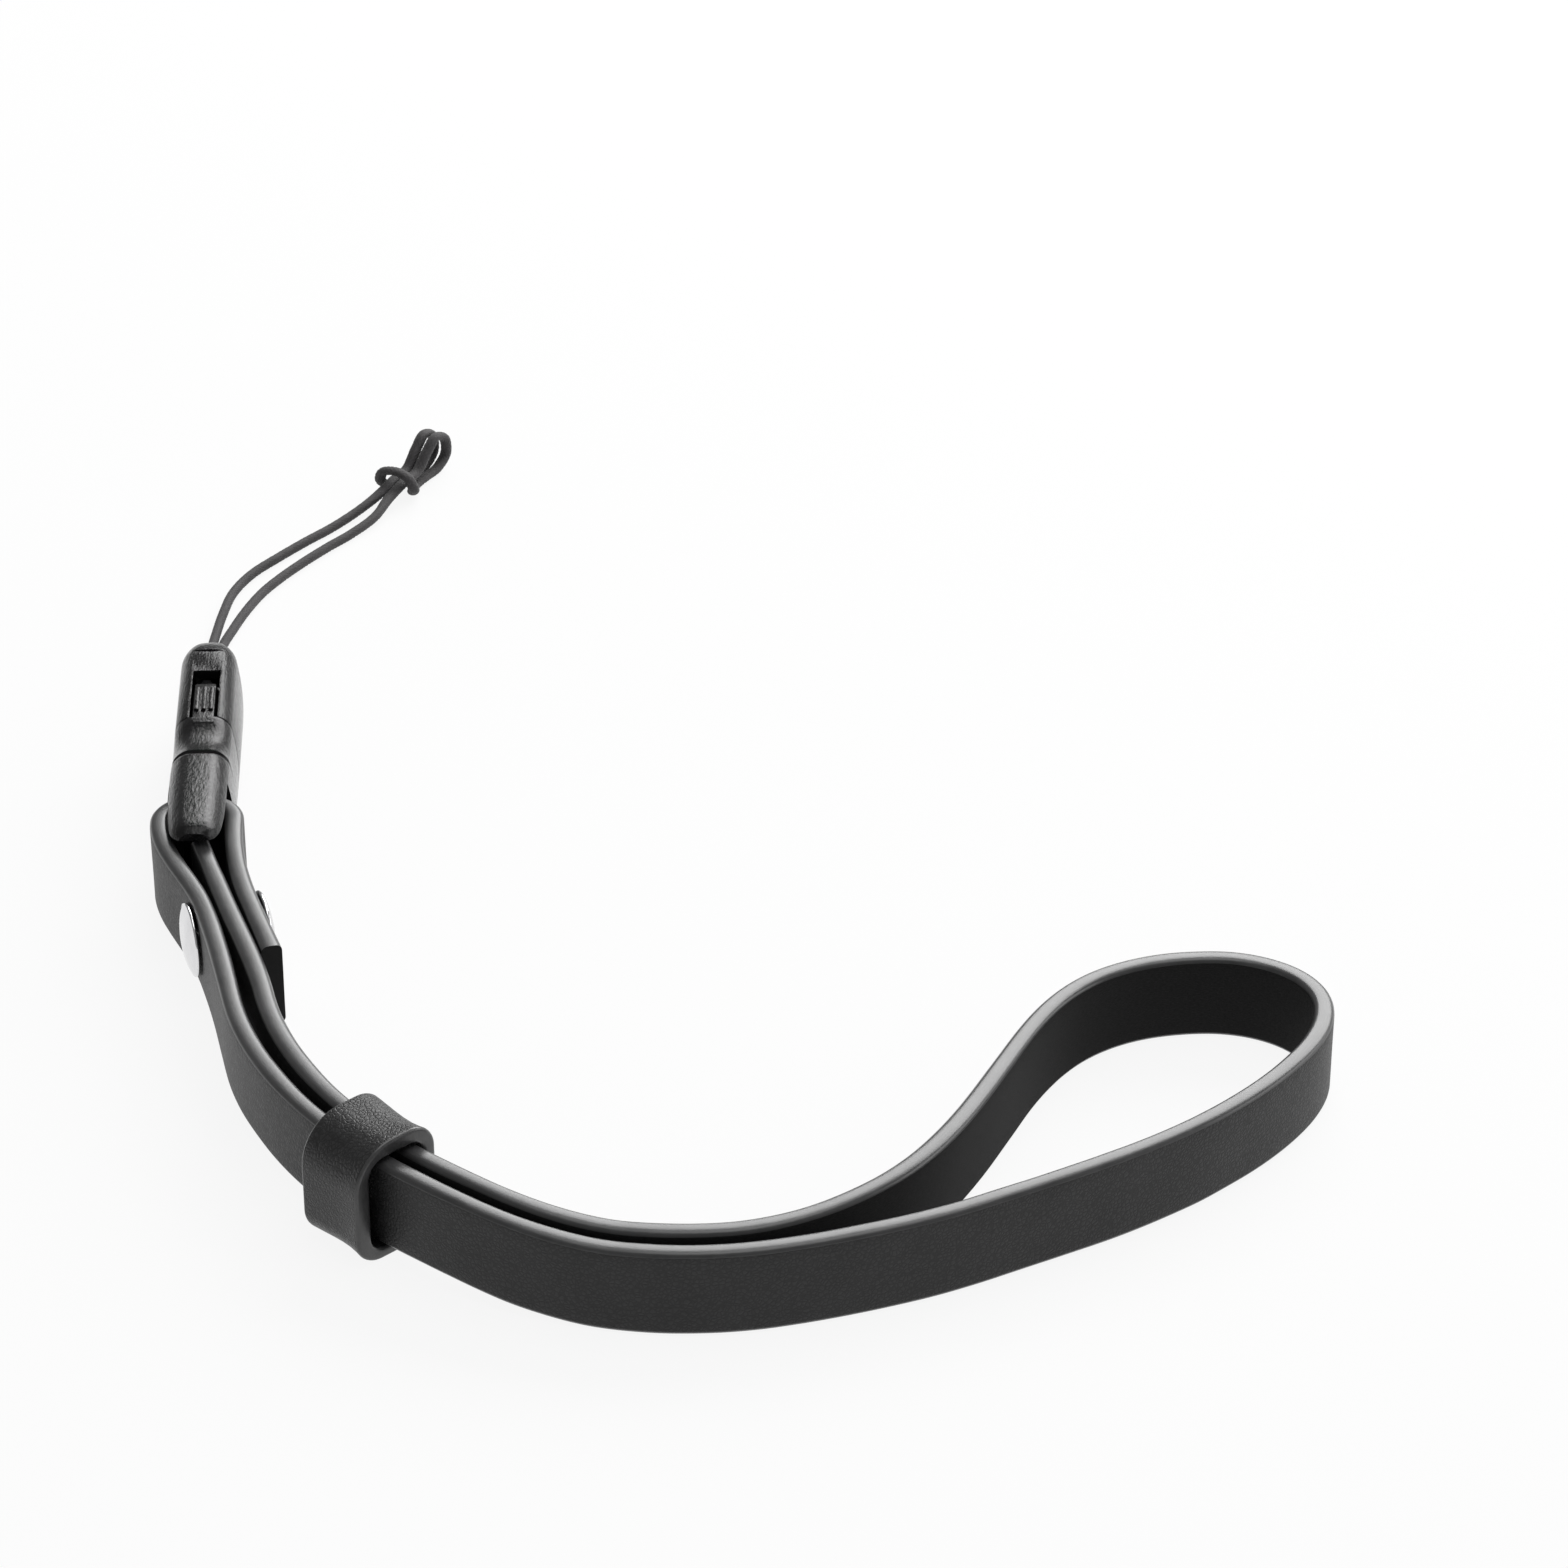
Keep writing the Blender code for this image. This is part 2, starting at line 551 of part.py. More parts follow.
def make_plug(parts, cutters, plastic):
    """The other half: two rails and a bar for the leather, a tongue and two arms that snap in."""
    frame = clip_matrix(MID_HEIGHT)
    plug = add_object("clip_plug", loft("clip_plug", body_stations()), parts, plastic, frame)
    slot_length = BODY_LENGTH - SLOT_TOP + 1.0 * MM
    between = LEATHER_WIDTH + 2 * SIDE_CLEARANCE
    slot_size = (2 * CLIP_THICKNESS, slot_length, between)
    slot_middle = (0, -SLOT_TOP - slot_length / 2, 0)
    slot = box_object("plug_slot", slot_size, slot_middle, cutters, frame)
    hide_cutter(slot)
    add_boolean(plug, slot)
    bar_frame = frame @ Matrix.Translation((0, -BAR_PLACE, 0))
    bar = cylinder_object("plug_bar", BAR_RADIUS, between + RAIL, cutters, bar_frame, 24)
    hide_cutter(bar)
    add_boolean(plug, bar, "UNION")
    root = 1.2 * MM
    arm_width = WINDOW_WIDTH - 2 * SEAT
    arm_top = HALF_WIDE - 0.15 * MM
    arm_middle = arm_top - ARM_THICKNESS / 2
    ridge_width = arm_width / 5
    for side in (-1, 1):
        label = "lower" if side < 0 else "upper"
        arm_size = (arm_width, ARM_SHOULDER + root, ARM_THICKNESS)
        arm_centre = (0, (ARM_SHOULDER - root) / 2, side * arm_middle)
        pieces = [box_object(f"{label}_arm", arm_size, arm_centre, cutters, frame)]
        tip_size = (arm_width * 0.55, ARM_LENGTH, ARM_THICKNESS * 0.7)
        tip_centre = (0, ARM_LENGTH / 2, side * (arm_middle - 0.1 * MM))
        pieces.append(box_object(f"{label}_tip", tip_size, tip_centre, cutters, frame))
        for place in (-1, 0, 1):
            ridge_size = (ridge_width, ARM_SHOULDER * 0.62, PAD_RIDGE * 2)
            height = side * (arm_top - PAD_RIDGE + 0.1 * MM)
            ridge_centre = (place * ridge_width * 1.6, ARM_SHOULDER * 0.52, height)
            pieces.append(box_object(f"{label}_ridge_{place + 2}", ridge_size, ridge_centre, cutters, frame))
        for piece in pieces:
            hide_cutter(piece)
            add_boolean(plug, piece, "UNION")
    tongue_size = (CLIP_THICKNESS - 2 * SOCKET_SIDE_WALL - 2 * SEAT, TONGUE_LENGTH + root, TONGUE_HEIGHT)
    tongue_centre = (0, (TONGUE_LENGTH - root) / 2, 0)
    tongue = box_object("plug_tongue", tongue_size, tongue_centre, cutters, frame, 0.4 * MM)
    hide_cutter(tongue)
    add_boolean(plug, tongue, "UNION")
    smooth_by_angle(plug)
    return plug


def knot_place():
    """How far up the clip the knot's middle lies: against the socket's end wall."""
    return SOCKET_LENGTH - SOCKET_END_WALL - SEAT - KNOT_LENGTH / 2


def make_knot(parts, cord_material):
    half_x = HALF_THICK - SOCKET_SIDE_WALL - SEAT
    bm = bmesh.new()
    bmesh.ops.create_uvsphere(bm, u_segments=20, v_segments=12, radius=1.0)
    bmesh.ops.scale(bm, vec=(half_x, KNOT_LENGTH / 2, CORD_PITCH + CORD_DIAMETER / 2), verts=bm.verts)
    knot_frame = clip_matrix(MID_HEIGHT) @ Matrix.Translation((0, knot_place(), 0))
    knot = add_object("cord_knot", mesh_from("cord_knot", bm), parts, cord_material, knot_frame)
    smooth_by_angle(knot, 60)
    return knot


def cord_route():
    """The route's points in metres, each with the spacing of the tube's points after it."""
    frame = clip_matrix(MID_HEIGHT)
    start = knot_place() + KNOT_LENGTH / 2 + SEAT
    hitch = Matrix.Translation(HITCH_PLACE) @ Matrix.Rotation(HITCH_HEADING, 4, "Z")
    half = [Vector((along, -across, up)) * MM for along, across, up in HITCH_HALF]
    mirrored = [Vector((point.x, -point.y, point.z)) for point in reversed(half)]
    route = [(frame @ Vector((0, start, CORD_PITCH / 2)), STRAND_STEP)]
    route.append((frame @ Vector((0, SOCKET_LENGTH, CORD_PITCH / 2)), STRAND_STEP))
    route += [(Vector(point) * MM, STRAND_STEP) for point in FAR_STRAND]
    route += [(hitch @ point, HITCH_STEP) for point in half + mirrored]
    route += [(Vector(point) * MM, STRAND_STEP) for point in NEAR_STRAND]
    route.append((frame @ Vector((0, SOCKET_LENGTH, -CORD_PITCH / 2)), STRAND_STEP))
    route.append((frame @ Vector((0, start, -CORD_PITCH / 2)), STRAND_STEP))
    return route


def smooth_route(route):
    """A smooth curve through the route's points, sampled at each stretch's own spacing."""
    places = [place for place, _ in route]
    places = [2 * places[0] - places[1]] + places + [2 * places[-1] - places[-2]]
    sampled = []
    for i, (_, spacing) in enumerate(route[:-1], 1):
        before, start, end, after = places[i - 1 : i + 3]
        length = (end - start).length
        leave = length * ((start - before).normalized() + (end - start).normalized()) / 2
        arrive = length * ((end - start).normalized() + (after - end).normalized()) / 2
        count = max(1, round(length / spacing))
        for step in range(count):
            t = step / count
            s = 1 - t
            sampled.append(
                s * s * (1 + 2 * t) * start + t * t * (3 - 2 * t) * end + t * s * s * leave - t * t * s * arrive
            )
    sampled.append(route[-1][0])
    return sampled


def make_cord(parts, cord_material):
    points = smooth_route(cord_route())
    curve = bpy.data.curves.new("camera_cord", "CURVE")
    curve.dimensions = "3D"
    spline = curve.splines.new("POLY")
    spline.points.add(len(points) - 1)
    for target, point in zip(spline.points, points):
        target.co = (*point, 1.0)
    curve.bevel_depth = CORD_DIAMETER / 2
    curve.bevel_resolution = 2
    curve.use_fill_caps = True
    return add_object("camera_cord", curve, parts, cord_material)


def main():
    clear_scene()
    parts = make_collection(OBJECT_NAME)
    cutters = make_collection("cutters")
    leather = make_material("black_leather", (0.028, 0.027, 0.027), 0.55)
    soft = make_material("keeper_leather", (0.035, 0.035, 0.035), 0.5)
    plastic = make_material("gloss_black_plastic", (0.008, 0.008, 0.009), 0.12)
    metal = make_material("polished_metal", (0.75, 0.75, 0.76), 0.12, 1.0)
    braid = make_material("dark_braid", (0.05, 0.047, 0.05), 0.75)
    make_band(parts, cutters, leather)
    make_keeper(parts, soft)
    make_rivet(parts, metal)
    make_socket(parts, cutters, plastic)
    make_plug(parts, cutters, plastic)
    make_knot(parts, braid)
    make_cord(parts, braid)
    bpy.context.view_layer.update()


main()
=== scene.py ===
# %% [markdown]
# # A camera wrist strap
# The strap is one long strip of black leather that stands on its edge. It turns round the bar of
# a small clip, is held by a rivet with a cap on each side, runs through a sliding keeper and ends
# in the open loop for the wrist. A thin braided cord joins the clip to a camera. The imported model
# gives every piece its place, and each cell below gives one piece its finished shape or its finish.

# %% The frame
import contextlib
import json
import math

import bmesh
import bpy
from mathutils import Matrix, Vector

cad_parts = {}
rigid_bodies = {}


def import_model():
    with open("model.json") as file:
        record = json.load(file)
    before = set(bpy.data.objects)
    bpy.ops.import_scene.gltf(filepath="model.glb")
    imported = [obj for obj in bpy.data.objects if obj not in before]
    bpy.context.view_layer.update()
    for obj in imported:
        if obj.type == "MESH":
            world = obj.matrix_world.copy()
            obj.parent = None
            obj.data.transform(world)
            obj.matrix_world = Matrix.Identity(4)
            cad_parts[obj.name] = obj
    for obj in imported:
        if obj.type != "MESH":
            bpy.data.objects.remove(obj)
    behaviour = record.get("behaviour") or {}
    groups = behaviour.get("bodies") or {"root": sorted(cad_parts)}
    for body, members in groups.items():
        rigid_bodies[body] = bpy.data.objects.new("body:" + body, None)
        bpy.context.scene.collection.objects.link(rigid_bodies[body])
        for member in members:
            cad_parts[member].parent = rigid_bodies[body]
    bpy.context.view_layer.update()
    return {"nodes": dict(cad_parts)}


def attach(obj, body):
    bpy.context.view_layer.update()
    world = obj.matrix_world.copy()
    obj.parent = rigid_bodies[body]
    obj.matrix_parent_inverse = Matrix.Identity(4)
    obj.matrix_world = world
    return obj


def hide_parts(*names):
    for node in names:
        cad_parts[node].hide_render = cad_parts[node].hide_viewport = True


for leftover in list(bpy.data.objects):
    bpy.data.objects.remove(leftover)
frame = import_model()
MM = 0.001

# %% [markdown]
# ## Camera, floor and light
# The strap lies on a white table and is seen from the front, about thirty degrees above it, with a
# long lens. A camera could be aimed by hand until the picture fits. Here its place was worked out
# from how much smaller the far edges look, so it is set by numbers and a point to look at.

# %% Camera
VIEW_POINT = Vector((5.758, 43.96, 0.0)) * MM
CAMERA_PLACE = Vector((5.758, -432.03, 281.5)) * MM
LENS = 119.39


def look_at(place, target):
    """The turn that points an object's own -Z from a place to a target, with its Y upwards."""
    return (target - place).to_track_quat("-Z", "Y").to_euler()


bpy.ops.object.camera_add(location=CAMERA_PLACE, rotation=look_at(CAMERA_PLACE, VIEW_POINT))
camera = bpy.context.active_object
camera.data.lens = LENS
camera.data.sensor_width = 36.0
camera.data.clip_start = 0.01
bpy.context.scene.camera = camera
print("camera is", round((VIEW_POINT - CAMERA_PLACE).length, 3), "m away")

# %% [markdown]
# ## Shader sums in plain Python
# A finish is a little sum: so much grain, less of it where the surface is worn. Such sums could be
# wired up node by node. A small class lets Python's own operators add the Math nodes, so that a
# line of code reads like the sum that it stands for.


# %% Sockets and finishes
class Socket:
    """An output of a shader node. Python's operators on it add the Math nodes they stand for."""

    def __init__(self, finish, output):
        self.finish = finish
        self.output = output

    def __add__(self, other):
        return self.finish.maths("ADD", self, other)

    def __radd__(self, other):
        return self.finish.maths("ADD", other, self)

    def __sub__(self, other):
        return self.finish.maths("SUBTRACT", self, other)

    def __mul__(self, other):
        return self.finish.maths("MULTIPLY", self, other)


class Finish:
    """A node material, built from values, sockets and one method that adds any kind of node."""

    def __init__(self, name, tree=None):
        if tree is None:
            self.material = bpy.data.materials.new(name)
            self.material.use_nodes = True
            tree = self.material.node_tree
        self.tree = tree
        self.shader = tree.nodes.get("Principled BSDF")

    def feed(self, target, value):
        if isinstance(value, Socket):
            self.tree.links.new(value.output, target)
        else:
            target.default_value = value

    def node(self, kind, settings=None, inputs=None, output=0):
        """A node of a kind, with its settings made first and then its sockets fed."""
        made = self.tree.nodes.new("ShaderNode" + kind)
        for key, value in (settings or {}).items():
            setattr(made, key, value)
        for key, value in (inputs or {}).items():
            self.feed(made.inputs[key], value)
        return Socket(self, made.outputs[output])

    def maths(self, operation, first, second):
        return self.node("Math", {"operation": operation}, {0: first, 1: second})

    def between(self, value, low, high):
        """0 where a value is under low, 1 where it is over high, and a soft step between."""
        settings = {"interpolation_type": "SMOOTHSTEP"}
        return self.node("MapRange", settings, {"Value": value, "From Min": low, "From Max": high})

    def mix(self, share, dark, light):
        """A colour between two others. The numbers are those of the node's colour sockets."""
        inputs = {0: share, 6: (*dark, 1.0), 7: (*light, 1.0)}
        return self.node("Mix", {"data_type": "RGBA"}, inputs, 2)

    def place(self, source="Object"):
        """Where a point of the surface is, in millimetres, as the pieces' own maps already are."""
        where = self.node("TexCoord", None, None, source)
        return where if source == "UV" else self.stretch(where, (1000.0, 1000.0, 1000.0))

    def noise(self, where, scale, detail, roughness=0.55):
        inputs = {"Vector": where, "Scale": scale, "Detail": detail, "Roughness": roughness}
        return self.node("TexNoise", None, inputs)

    def stretch(self, where, scale):
        return self.node("Mapping", None, {"Vector": where, "Scale": scale})

    def bump(self, height, distance, strength, under=None):
        inputs = {"Height": height, "Distance": distance, "Strength": strength}
        if under is not None:
            inputs["Normal"] = under
        return self.node("Bump", None, inputs)

    def set(self, **sockets):
        """Feeds the Principled shader: the words stand for its sockets' names."""
        for key, value in sockets.items():
            name = key.replace("_", " ").title().replace("Ior", "IOR")
            self.feed(self.shader.inputs[name], value)

    def show(self, share, lit, shown, end):
        """Ends the tree in a mix of what the lamps light and what the camera is shown."""
        mixed = self.node("MixShader", None, {0: share, 1: lit, 2: shown})
        self.tree.links.new(mixed.output, self.tree.nodes[end].inputs["Surface"])


def seen(finish, in_gloss=1.0):
    """1 for what the camera sees, straight or through glass, a share of it for what it sees in a
    gloss, and 0 for light."""
    made = finish.tree.nodes.new("ShaderNodeLightPath")
    names = ("Is Camera Ray", "Is Transmission Ray", "Is Glossy Ray")
    straight, through, mirrored = [Socket(finish, made.outputs[name]) for name in names]
    return finish.maths("MAXIMUM", finish.maths("MAXIMUM", straight, through), mirrored * in_gloss)


print("finishes are ready to be mixed")

# %% White table, white room
TABLE_SIZE = 6.0
TABLE_DROP = 0.05 * MM
TABLE_WHITE = (0.86, 0.86, 0.86, 1.0)
BACKDROP = (0.99, 0.99, 0.99, 1.0)
ROOM_LIGHT = 0.25
ROOM_IN_GLOSS = 0.05
TABLE_OWN_LIGHT = 0.9

bpy.ops.mesh.primitive_plane_add(size=TABLE_SIZE, location=(0.0, 0.0, -TABLE_DROP))
table = bpy.context.active_object
table.name = "table"
table_finish = Finish("white table")
table_finish.set(base_color=TABLE_WHITE, roughness=0.9, specular_ior_level=0.0)
table_share = seen(table_finish) * TABLE_OWN_LIGHT
table_lit = Socket(table_finish, table_finish.shader.outputs[0])
table_shown = table_finish.node("Emission", None, {"Color": BACKDROP, "Strength": 1.0})
table_finish.show(table_share, table_lit, table_shown, "Material Output")
table.data.materials.append(table_finish.material)

world = bpy.data.worlds.new("white room")
bpy.context.scene.world = world
world.use_nodes = True
room = Finish("white room", world.node_tree)
room_light = room.tree.nodes["Background"]
room_light.inputs["Color"].default_value = (1.0, 1.0, 1.0, 1.0)
room_light.inputs["Strength"].default_value = ROOM_LIGHT
room_lit = Socket(room, room_light.outputs[0])
room_shown = room.node("Background", None, {"Color": BACKDROP, "Strength": 1.0})
room.show(seen(room, ROOM_IN_GLOSS), room_lit, room_shown, "World Output")
bpy.context.scene.view_settings.view_transform = "Standard"
print("table and room are white")

# %% Lamps
# name, place in metres, width, height, watts
LAMPS = (
    ("overhead softbox", (0.1, 0.0, 0.65), 0.5, 0.4, 1.3),
    ("back right window", (0.29, 0.64, 0.5), 0.88, 0.52, 8.0),
    ("right softbox", (0.66, 0.1, 0.2), 0.5, 0.25, 0.9),
)
LAMP_TARGET = Vector((0.0, 0.02, 0.0))
for name, place, wide, high, watts in LAMPS:
    turn = look_at(Vector(place), LAMP_TARGET)
    bpy.ops.object.light_add(type="AREA", location=place, rotation=turn)
    lamp = bpy.context.active_object
    lamp.name = name
    lamp.data.shape = "RECTANGLE"
    lamp.data.size = wide
    lamp.data.size_y = high
    lamp.data.energy = watts
print(len(LAMPS), "lamps")

# %% [markdown]
# ## The cord
# The cord is a fine round braid, doubled from the clip to the eye of a lark's head hitch. It could
# be a plain tube. A real braid catches the light in small crossing diamonds, so the tube's own
# surface carries them here, and where the hitch squeezes the cord it is a little flatter.

# %% The cord's route
CORD_DIAMETER = 1.05 * MM
CORD_PITCH = 1.4 * MM
CLIP_MOUTH = Vector((-54.628, 36.72, 0.0)) * MM
CLIP_LEAN = math.radians(3.0)
MID_HEIGHT = 6.3 * MM
SOCKET_LENGTH = 17.8 * MM
CORD_START = 14.5 * MM
HITCH_PLACE = Vector((-39.442, 110.16, 0.0)) * MM
HITCH_HEADING = math.radians(62)
STEPS_BETWEEN_PLACES = 24
BRAID_STEP = 0.12 * MM
# places in millimetres, from the clip to the hitch and back, then half the hitch in its own frame
FAR_STRAND = (
    (-56.542, 57.56, 6.1),
    (-57.55, 63.56, 2.9),
    (-57.8, 69.56, 1.0),
    (-57.642, 75.06, 0.55),
    (-57.242, 80.66, 0.55),
    (-56.542, 85.56, 0.55),
    (-54.842, 89.96, 0.55),
    (-52.042, 94.16, 0.55),
    (-49.242, 97.96, 0.55),
    (-46.542, 101.36, 0.55),
    (-43.842, 104.76, 0.9),
)
NEAR_STRAND = (
    (-41.742, 103.36, 0.9),
    (-44.242, 99.76, 0.55),
    (-46.642, 96.56, 0.55),
    (-49.242, 92.76, 0.55),
    (-51.542, 88.96, 0.55),
    (-53.242, 85.56, 0.55),
    (-54.742, 81.16, 0.55),
    (-55.742, 77.16, 0.55),
    (-56.6, 73.06, 0.55),
    (-56.75, 68.06, 0.65),
    (-56.75, 62.56, 1.6),
    (-56.4, 57.06, 4.3),
)
HITCH_HALF = (
    (-3.2, -0.75, 1.5),
    (0.2, -0.7, 1.95),
    (3.2, -0.7, 2.1),
    (5.4, -0.75, 3.7),
    (7.3, -0.8, 4.75),
    (9.2, -0.85, 3.7),
    (9.35, -0.85, 1.8),
    (7.5, -0.8, 0.67),
    (4.7, -0.75, 0.6),
    (2.4, -0.8, 0.58),
    (0.8, -1.5, 0.75),
    (-0.2, -2.25, 1.7),
    (-0.5, -1.75, 3.05),
    (-0.5, -0.6, 3.5),
)


def placed(place, turn, height=0.0):
    """A place on the table, a turn there and a height over it, as one matrix."""
    return Matrix.Translation(place + Vector((0, 0, height))) @ Matrix.Rotation(turn, 4, "Z")


def cord_route():
    """The route's points, from the knot out to the hitch and back."""
    clip = placed(CLIP_MOUTH, CLIP_LEAN, MID_HEIGHT)
    hitch = placed(HITCH_PLACE, HITCH_HEADING)
    half = [Vector((along, -across, up)) * MM for along, across, up in HITCH_HALF]
    mirrored = [Vector((point.x, -point.y, point.z)) for point in reversed(half)]
    leave, arrive = [
        [clip @ Vector((0, y, side * CORD_PITCH / 2)) for y in (CORD_START, SOCKET_LENGTH)]
        for side in (1, -1)
    ]
    route = leave + [Vector(point) * MM for point in FAR_STRAND]
    route += [hitch @ point for point in half + mirrored]
    return route + [Vector(point) * MM for point in NEAR_STRAND] + arrive[::-1]


def run_lengths(line):
    """How far along a line each of its points is."""
    run = [0.0]
    for first, second in zip(line, line[1:]):
        run.append(run[-1] + (second - first).length)
    return run


def even_points(points, spacing):
    """Points at an even spacing along a chain of others, its two ends kept."""
    run = run_lengths(points)
    count = round(run[-1] / spacing)
    even, i = [], 0
    for step in range(count + 1):
        target = run[-1] * step / count
        while i < len(points) - 2 and run[i + 1] < target:
            i += 1
        share = (target - run[i]) / (run[i + 1] - run[i])
        even.append(points[i].lerp(points[i + 1], share))
    return even


def smooth_route(places, spacing):
    """A smooth curve through places, with points at an even spacing."""
    places = [2 * places[0] - places[1]] + places + [2 * places[-1] - places[-2]]
    fine = []
    for i in range(1, len(places) - 2):
        before, start, end, after = places[i - 1 : i + 3]
        length = (end - start).length
        leave = length * ((start - before).normalized() + (end - start).normalized()) / 2
        arrive = length * ((end - start).normalized() + (after - end).normalized()) / 2
        for step in range(STEPS_BETWEEN_PLACES):
            t = step / STEPS_BETWEEN_PLACES
            s = 1 - t
            rise = s * s * (1 + 2 * t) * start + t * t * (3 - 2 * t) * end
            fine.append(rise + t * s * s * leave - t * t * s * arrive)
    fine.append(places[-2])
    return even_points(fine, spacing)


cord_line = smooth_route(cord_route(), BRAID_STEP)
cord_length = run_lengths(cord_line)[-1]
print("the cord is", round(cord_length / MM, 1), "mm long")

# %% A braided tube
BRAID_SIDES = 32
BRAID_YARNS = 8
BRAID_LAY = 4.2 * MM
BRAID_DEPTH = 0.045 * MM
HITCH_MIDDLE = HITCH_PLACE + Vector((1.4, 2.6, 2.0)) * MM
HITCH_REACH = 9.0 * MM
HITCH_FADE = 3.0 * MM
HITCH_PRESS = Vector((0.25, 0.25, -0.14))


def select_nothing():
    bpy.ops.object.select_all(action="DESELECT")


def select_only(piece):
    select_nothing()
    piece.select_set(True)
    bpy.context.view_layer.objects.active = piece


def piece_from(name, points, faces):
    mesh = bpy.data.meshes.new(name)
    mesh.from_pydata(points, [], faces)
    piece = bpy.data.objects.new(name, mesh)
    bpy.context.scene.collection.objects.link(piece)
    return piece


def braid_height(along, turn):
    """How high a braid stands at a place along it and a share of a turn round it."""
    right = BRAID_YARNS * (turn + along / BRAID_LAY)
    left = BRAID_YARNS * (turn - along / BRAID_LAY)
    over = (math.floor(right) + math.floor(left)) % 2
    yarn = right if over else left
    return math.sin(math.pi * (yarn % 1.0)) ** 1.2


def heading_at(line, i):
    """The way that a line runs at one of its points."""
    return (line[min(i + 1, len(line) - 1)] - line[max(i - 1, 0)]).normalized()


def tube_frames(line):
    """Two sides at each point of a line, turning as little as they can."""
    frames = []
    side = Vector((0, 0, 1))
    for i in range(len(line)):
        ahead = heading_at(line, i)
        side = (side - side.dot(ahead) * ahead).normalized()
        frames.append((side, ahead.cross(side)))
    return frames


def hitch_squeeze(point):
    """1 inside the hitch, where the cord is pressed flat, and 0 away from it."""
    return max(0.0, min(1.0, (HITCH_REACH - (point - HITCH_MIDDLE).length) / HITCH_FADE))


def braided_tube(name, line, diameter):
    """A tube round a line whose surface carries the braid; its map runs along it in millimetres."""
    points = []
    run = run_lengths(line)
    for point, along, (up, aside) in zip(line, run, tube_frames(line)):
        squeeze = hitch_squeeze(point)
        for k in range(BRAID_SIDES):
            turn = k / BRAID_SIDES
            angle = 2 * math.pi * turn
            reach = diameter / 2 - BRAID_DEPTH + 1.5 * BRAID_DEPTH * braid_height(along, turn)
            offset = reach * (math.cos(angle) * up + math.sin(angle) * aside)
            points.append(point + offset + squeeze * offset * HITCH_PRESS)
    corners = [
        ((i, k), (i, k + 1), (i + 1, k + 1), (i + 1, k))
        for i in range(len(line) - 1)
        for k in range(BRAID_SIDES)
    ]
    faces = [[i * BRAID_SIDES + k % BRAID_SIDES for i, k in four] for four in corners]
    faces.append(list(reversed(range(BRAID_SIDES))))
    faces.append(list(range(len(points) - BRAID_SIDES, len(points))))
    piece = piece_from(name, points, faces)
    layer = piece.data.uv_layers.new(name="along and round")
    for face, four in zip(piece.data.polygons, corners):
        for loop, (i, k) in zip(face.loop_indices, four):
            layer.data[loop].uv = (run[i] / MM, k / BRAID_SIDES)
    piece.data.shade_smooth()
    return piece


cord = braided_tube("braided_cord", cord_line, CORD_DIAMETER)
print("the cord has", len(cord.data.polygons), "faces")

# %% The cord's finish
braid = Finish("dark braid")
braid_where = braid.place("UV")
yarn_fibres = braid.noise(braid.stretch(braid_where, (3.0, 40.0, 1.0)), 6.0, 4.0)
braid_shade = braid.noise(braid.stretch(braid_where, (0.5, 3.0, 1.0)), 1.0, 2.0)
braid_tone = braid.between(yarn_fibres * 0.7 + braid_shade * 0.3, 0.35, 0.68)
braid.set(
    base_color=braid.mix(braid_tone, (0.018, 0.017, 0.018), (0.06, 0.056, 0.058)),
    roughness=0.62 + yarn_fibres * 0.2,
    normal=braid.bump(yarn_fibres, 0.02 * MM, 0.8),
    sheen_weight=0.15,
    sheen_roughness=0.5,
)
cord.data.materials.append(braid.material)
frame["nodes"]["cord_knot"].data.materials.clear()
frame["nodes"]["cord_knot"].data.materials.append(braid.material)
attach(cord, "strap")
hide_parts("camera_cord")
[tuple(point) for point in cord_line[::12]] + [tuple(cord_line[-1])]
print("the cord rides with the strap")

# %% [markdown]
# ## The leather band
# One strip of leather, nine millimetres wide and two thick, makes the whole strap. It could be a
# plane that is extruded step by step. A strip has the same section from end to end, so here its
# section is drawn once, as a plate with rounded corners and slightly crowned edges, and a curve
# sweeps it along the path.

# %% Headings, arcs and bends
ARC_TOP = Vector((-45.907, -12.999, 0.0)) * MM
LONG_ARC_RADIUS = 54.05 * MM
FRONT_ARC_RADIUS = 36.05 * MM
LONG_ARC_START = math.radians(193)
LONG_ARC_END = math.radians(236)
# stations of an angle in degrees and an offset in millimetres, and the angles of the descent
OUTER_LAYER = ((193, 1.4), (227, 0.9), (284, 1.1))
INNER_LAYER = ((193, -1.75), (227, -2.0), (276, -2.2))
COMES_DOWN = (230.0, 262.0)
FINE_STEP = 0.6 * MM
BEND_STEP = 0.3 * MM
DEGREES_STEP = 0.8


def heading_vector(angle):
    return Vector((math.cos(angle), math.sin(angle), 0.0))


def arc_points(centre, radius, start, end):
    count = math.ceil((end - start) * radius / BEND_STEP)
    angles = [start + (end - start) * i / count for i in range(count + 1)]
    return [centre + radius * heading_vector(angle) for angle in angles]


def bend_points(start, start_heading, end, end_heading):
    """A smooth bend between two places with a heading at each, both given in radians."""
    turn = (end_heading - start_heading + math.pi) % (2 * math.pi) - math.pi
    handle = (end - start).length / (3 * math.cos(turn / 4) ** 2)
    first = start + handle * heading_vector(start_heading)
    second = end - handle * heading_vector(end_heading)
    count = math.ceil((end - start).length / FINE_STEP)
    points = []
    for i in range(count + 1):
        t = i / count
        s = 1 - t
        points.append(s**3 * start + 3 * s * s * t * first + 3 * s * t * t * second + t**3 * end)
    return points


def run_through(knots):
    points = []
    for (place, heading), (following, next_heading) in zip(knots, knots[1:]):
        points += bend_points(place, heading, following, next_heading)[1:]
    return points


